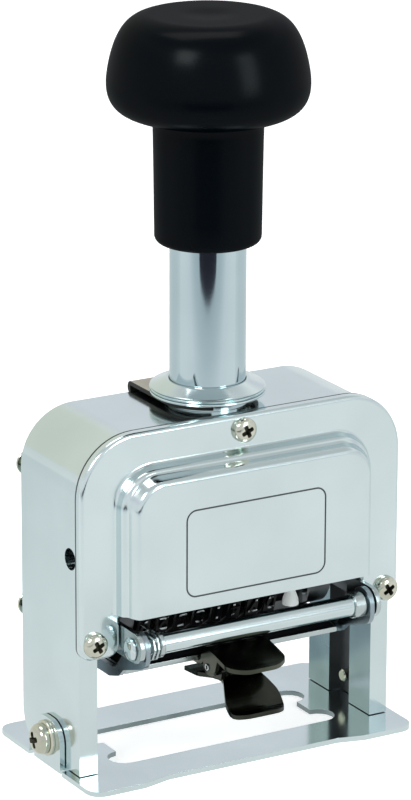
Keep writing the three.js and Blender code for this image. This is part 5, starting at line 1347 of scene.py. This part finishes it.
flat_faces(plate, angle=35)
# The plate's edges and underside carry painted shade.
dress(plate, "lock_plate", cut_edges(BROWN_WITH_PAINTED_SHADE, SIDE_PAINTED_SHADE))
print("lock plate bent")

# %% [markdown]
# The ink pad is felt in a shallow tray: a soft block with a slight crown, rounded edges and a
# nap that lifts here and there. Two grids of points do it, one above the other, because the top
# can then follow any formula.

# %% The felt pad
PAD_COLUMNS, PAD_ROWS = 96, 26
PAD_REST, PAD_CROWN, NAP = 0.16, 0.12, 0.035
PAD_EDGE, PAD_DROP, PAD_CURVE, NAP_EDGE = 1.1, 0.62, 2.4, 0.4


def felt_top(x, y, across, edge):
    """How far the top of the felt stands below its highest level, as a negative number."""
    crown = PAD_CROWN * (1 - (2 * across - 1) ** 2)
    nap = NAP * math.sin(3.1 * x + 1.7 * y) * math.sin(2.3 * y - 0.9 * x) if edge > NAP_EDGE else 0
    return crown - PAD_REST + nap - PAD_DROP * (1 - min(edge / PAD_EDGE, 1)) ** PAD_CURVE


def rim(grid):
    """The points once round the edge of a grid."""
    right = [line[-1] for line in grid[1:]]
    left = [line[0] for line in grid[-2:0:-1]]
    return grid[0] + right + grid[-1][-2::-1] + left


def felt_pad():
    """A crowned block that fills the box of the measured pad."""
    low, high = (Vector(corner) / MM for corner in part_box("ink_pad"))
    size = high - low
    edited = bmesh.new()
    upper, lower = [], []
    for row in range(PAD_ROWS + 1):
        across = row / PAD_ROWS
        y = low.y + size.y * across
        upper.append([])
        lower.append([])
        for column in range(PAD_COLUMNS + 1):
            along = column / PAD_COLUMNS
            x = low.x + size.x * along
            edge = min(min(along, 1 - along) * size.x, min(across, 1 - across) * size.y)
            top = min(high.z + felt_top(x, y, across, edge), high.z)
            upper[-1].append(edited.verts.new((x * MM, y * MM, top * MM)))
            lower[-1].append(edited.verts.new((x * MM, y * MM, low.z * MM)))
    for grid in (upper, lower):
        for near, far in zip(grid, grid[1:]):
            for column in range(PAD_COLUMNS):
                edited.faces.new((near[column], near[column + 1], far[column + 1], far[column]))
    rim_up, rim_down = rim(upper), rim(lower)
    for index in range(len(rim_up)):
        after = (index + 1) % len(rim_up)
        edited.faces.new((rim_up[index], rim_down[index], rim_down[after], rim_up[after]))
    bmesh.ops.recalc_face_normals(edited, faces=edited.faces)
    pad = smooth(from_bmesh("felt_pad", edited), angle=60)
    dress(pad, "ink_pad")
    return pad


pad = felt_pad()
print(f"felt pad: {len(pad.data.polygons)} faces")

# %% [markdown]
# The rest of the works keep the measured shapes with rounded edges, in the same finish with its
# painted shade. Only the yoke that carries the ink tray is lighter, a slate grey.

# %% Works in painted shade
SLATE = finish("slate_plate", (0.37, 0.44, 0.475), (0.3, 0.36, 0.39), roughness=0.28)
for node in ("carriage_roof", "carriage_side_left", "carriage_side_right", "guide_shoe_left",
             "guide_shoe_right", "wheel_axle", "drive_arm", "spring_bridge", "return_spring"):
    refined(node, look=WORKS_PAINTED_SHADE)
refined("ink_arm", look=SLATE)
print("works oiled")

# %% [markdown]
# The two finger blades are pressed from spring steel, with a wider round on their edges that draws
# a light rim. Their pin is a hollow rivet, so its end shows as a bright ring round a hole, and the
# hole carries painted shade.

# %% The blades and their rivet
BLADE = finish("dark_blade", (0.125, 0.13, 0.1), (0.05, 0.055, 0.04), roughness=0.24,
               line_depth=0.5, scale=120)
LOWER_BLADE = finish("black_blade", (0.06, 0.064, 0.052), (0.02, 0.022, 0.018), roughness=0.16,
                     scale=120)
BLADE_ROUND = 0.22 * MM
PIN_Y, PIN_Z, PIN_END = -15.9, 22.4, -9.2
PIN_HOLE = 0.44
PIN_PROFILE = [(0, PIN_END + 0.5), (0.42, PIN_END + 0.5), (0.42, PIN_END + 0.1), (0.5, PIN_END),
               (0.7, PIN_END), (0.8, PIN_END + 0.1), (0.8, 6.5), (0.7, 6.6), (0, 6.6)]


def in_rivet(face):
    """The hole in the left end of the rivet."""
    x, y, z = arch_mm(face.center)
    return x < 0 and math.hypot(y - PIN_Y, z - PIN_Z) < PIN_HOLE


refined("upper_blade", BLADE_ROUND, segments=3, look=BLADE)
refined("clip_lever", BLADE_ROUND, segments=3, look=LOWER_BLADE)
pin = turned_x("clip_pin", PIN_PROFILE, PIN_Y, PIN_Z, steps=40)
# The rivet's hole takes the recess's painted shade.
paint(pin, RECESS_PAINTED_SHADE, in_rivet)
print("blades pressed")

# %% [markdown]
# The foot plate keeps its measured shape. The upright faces of its print window are painted
# darker.

# %% The foot plate
WINDOW_DARK = finish("window_dark_edge", (0.30, 0.36, 0.37), (0.16, 0.20, 0.21), roughness=0.28, smudge=0.12,
                 line_depth=0.5)
WINDOW_X, WINDOW_Y, UPRIGHT = 33, 13, 0.3
foot_plate = refined("base_plate")


def punched(face):
    """An upright face in the print window."""
    x, y, z = arch_mm(face.center)
    return abs(x) < WINDOW_X and abs(y) < WINDOW_Y and z < LEG and abs(face.normal.z) < UPRIGHT


# The upright faces of the print window are painted darker.
paint(foot_plate, WINDOW_DARK, punched)
print(f"foot plate: {len(foot_plate.data.polygons)} faces")

# %% [markdown]
# Everything not rebuilt above is a refined copy of its measured solid.

# %% Refine the remaining pieces
for node in sorted(nodes):
    if node not in rebuilt:
        refined(node)
print(f"{len(nodes)} measured solids dressed")
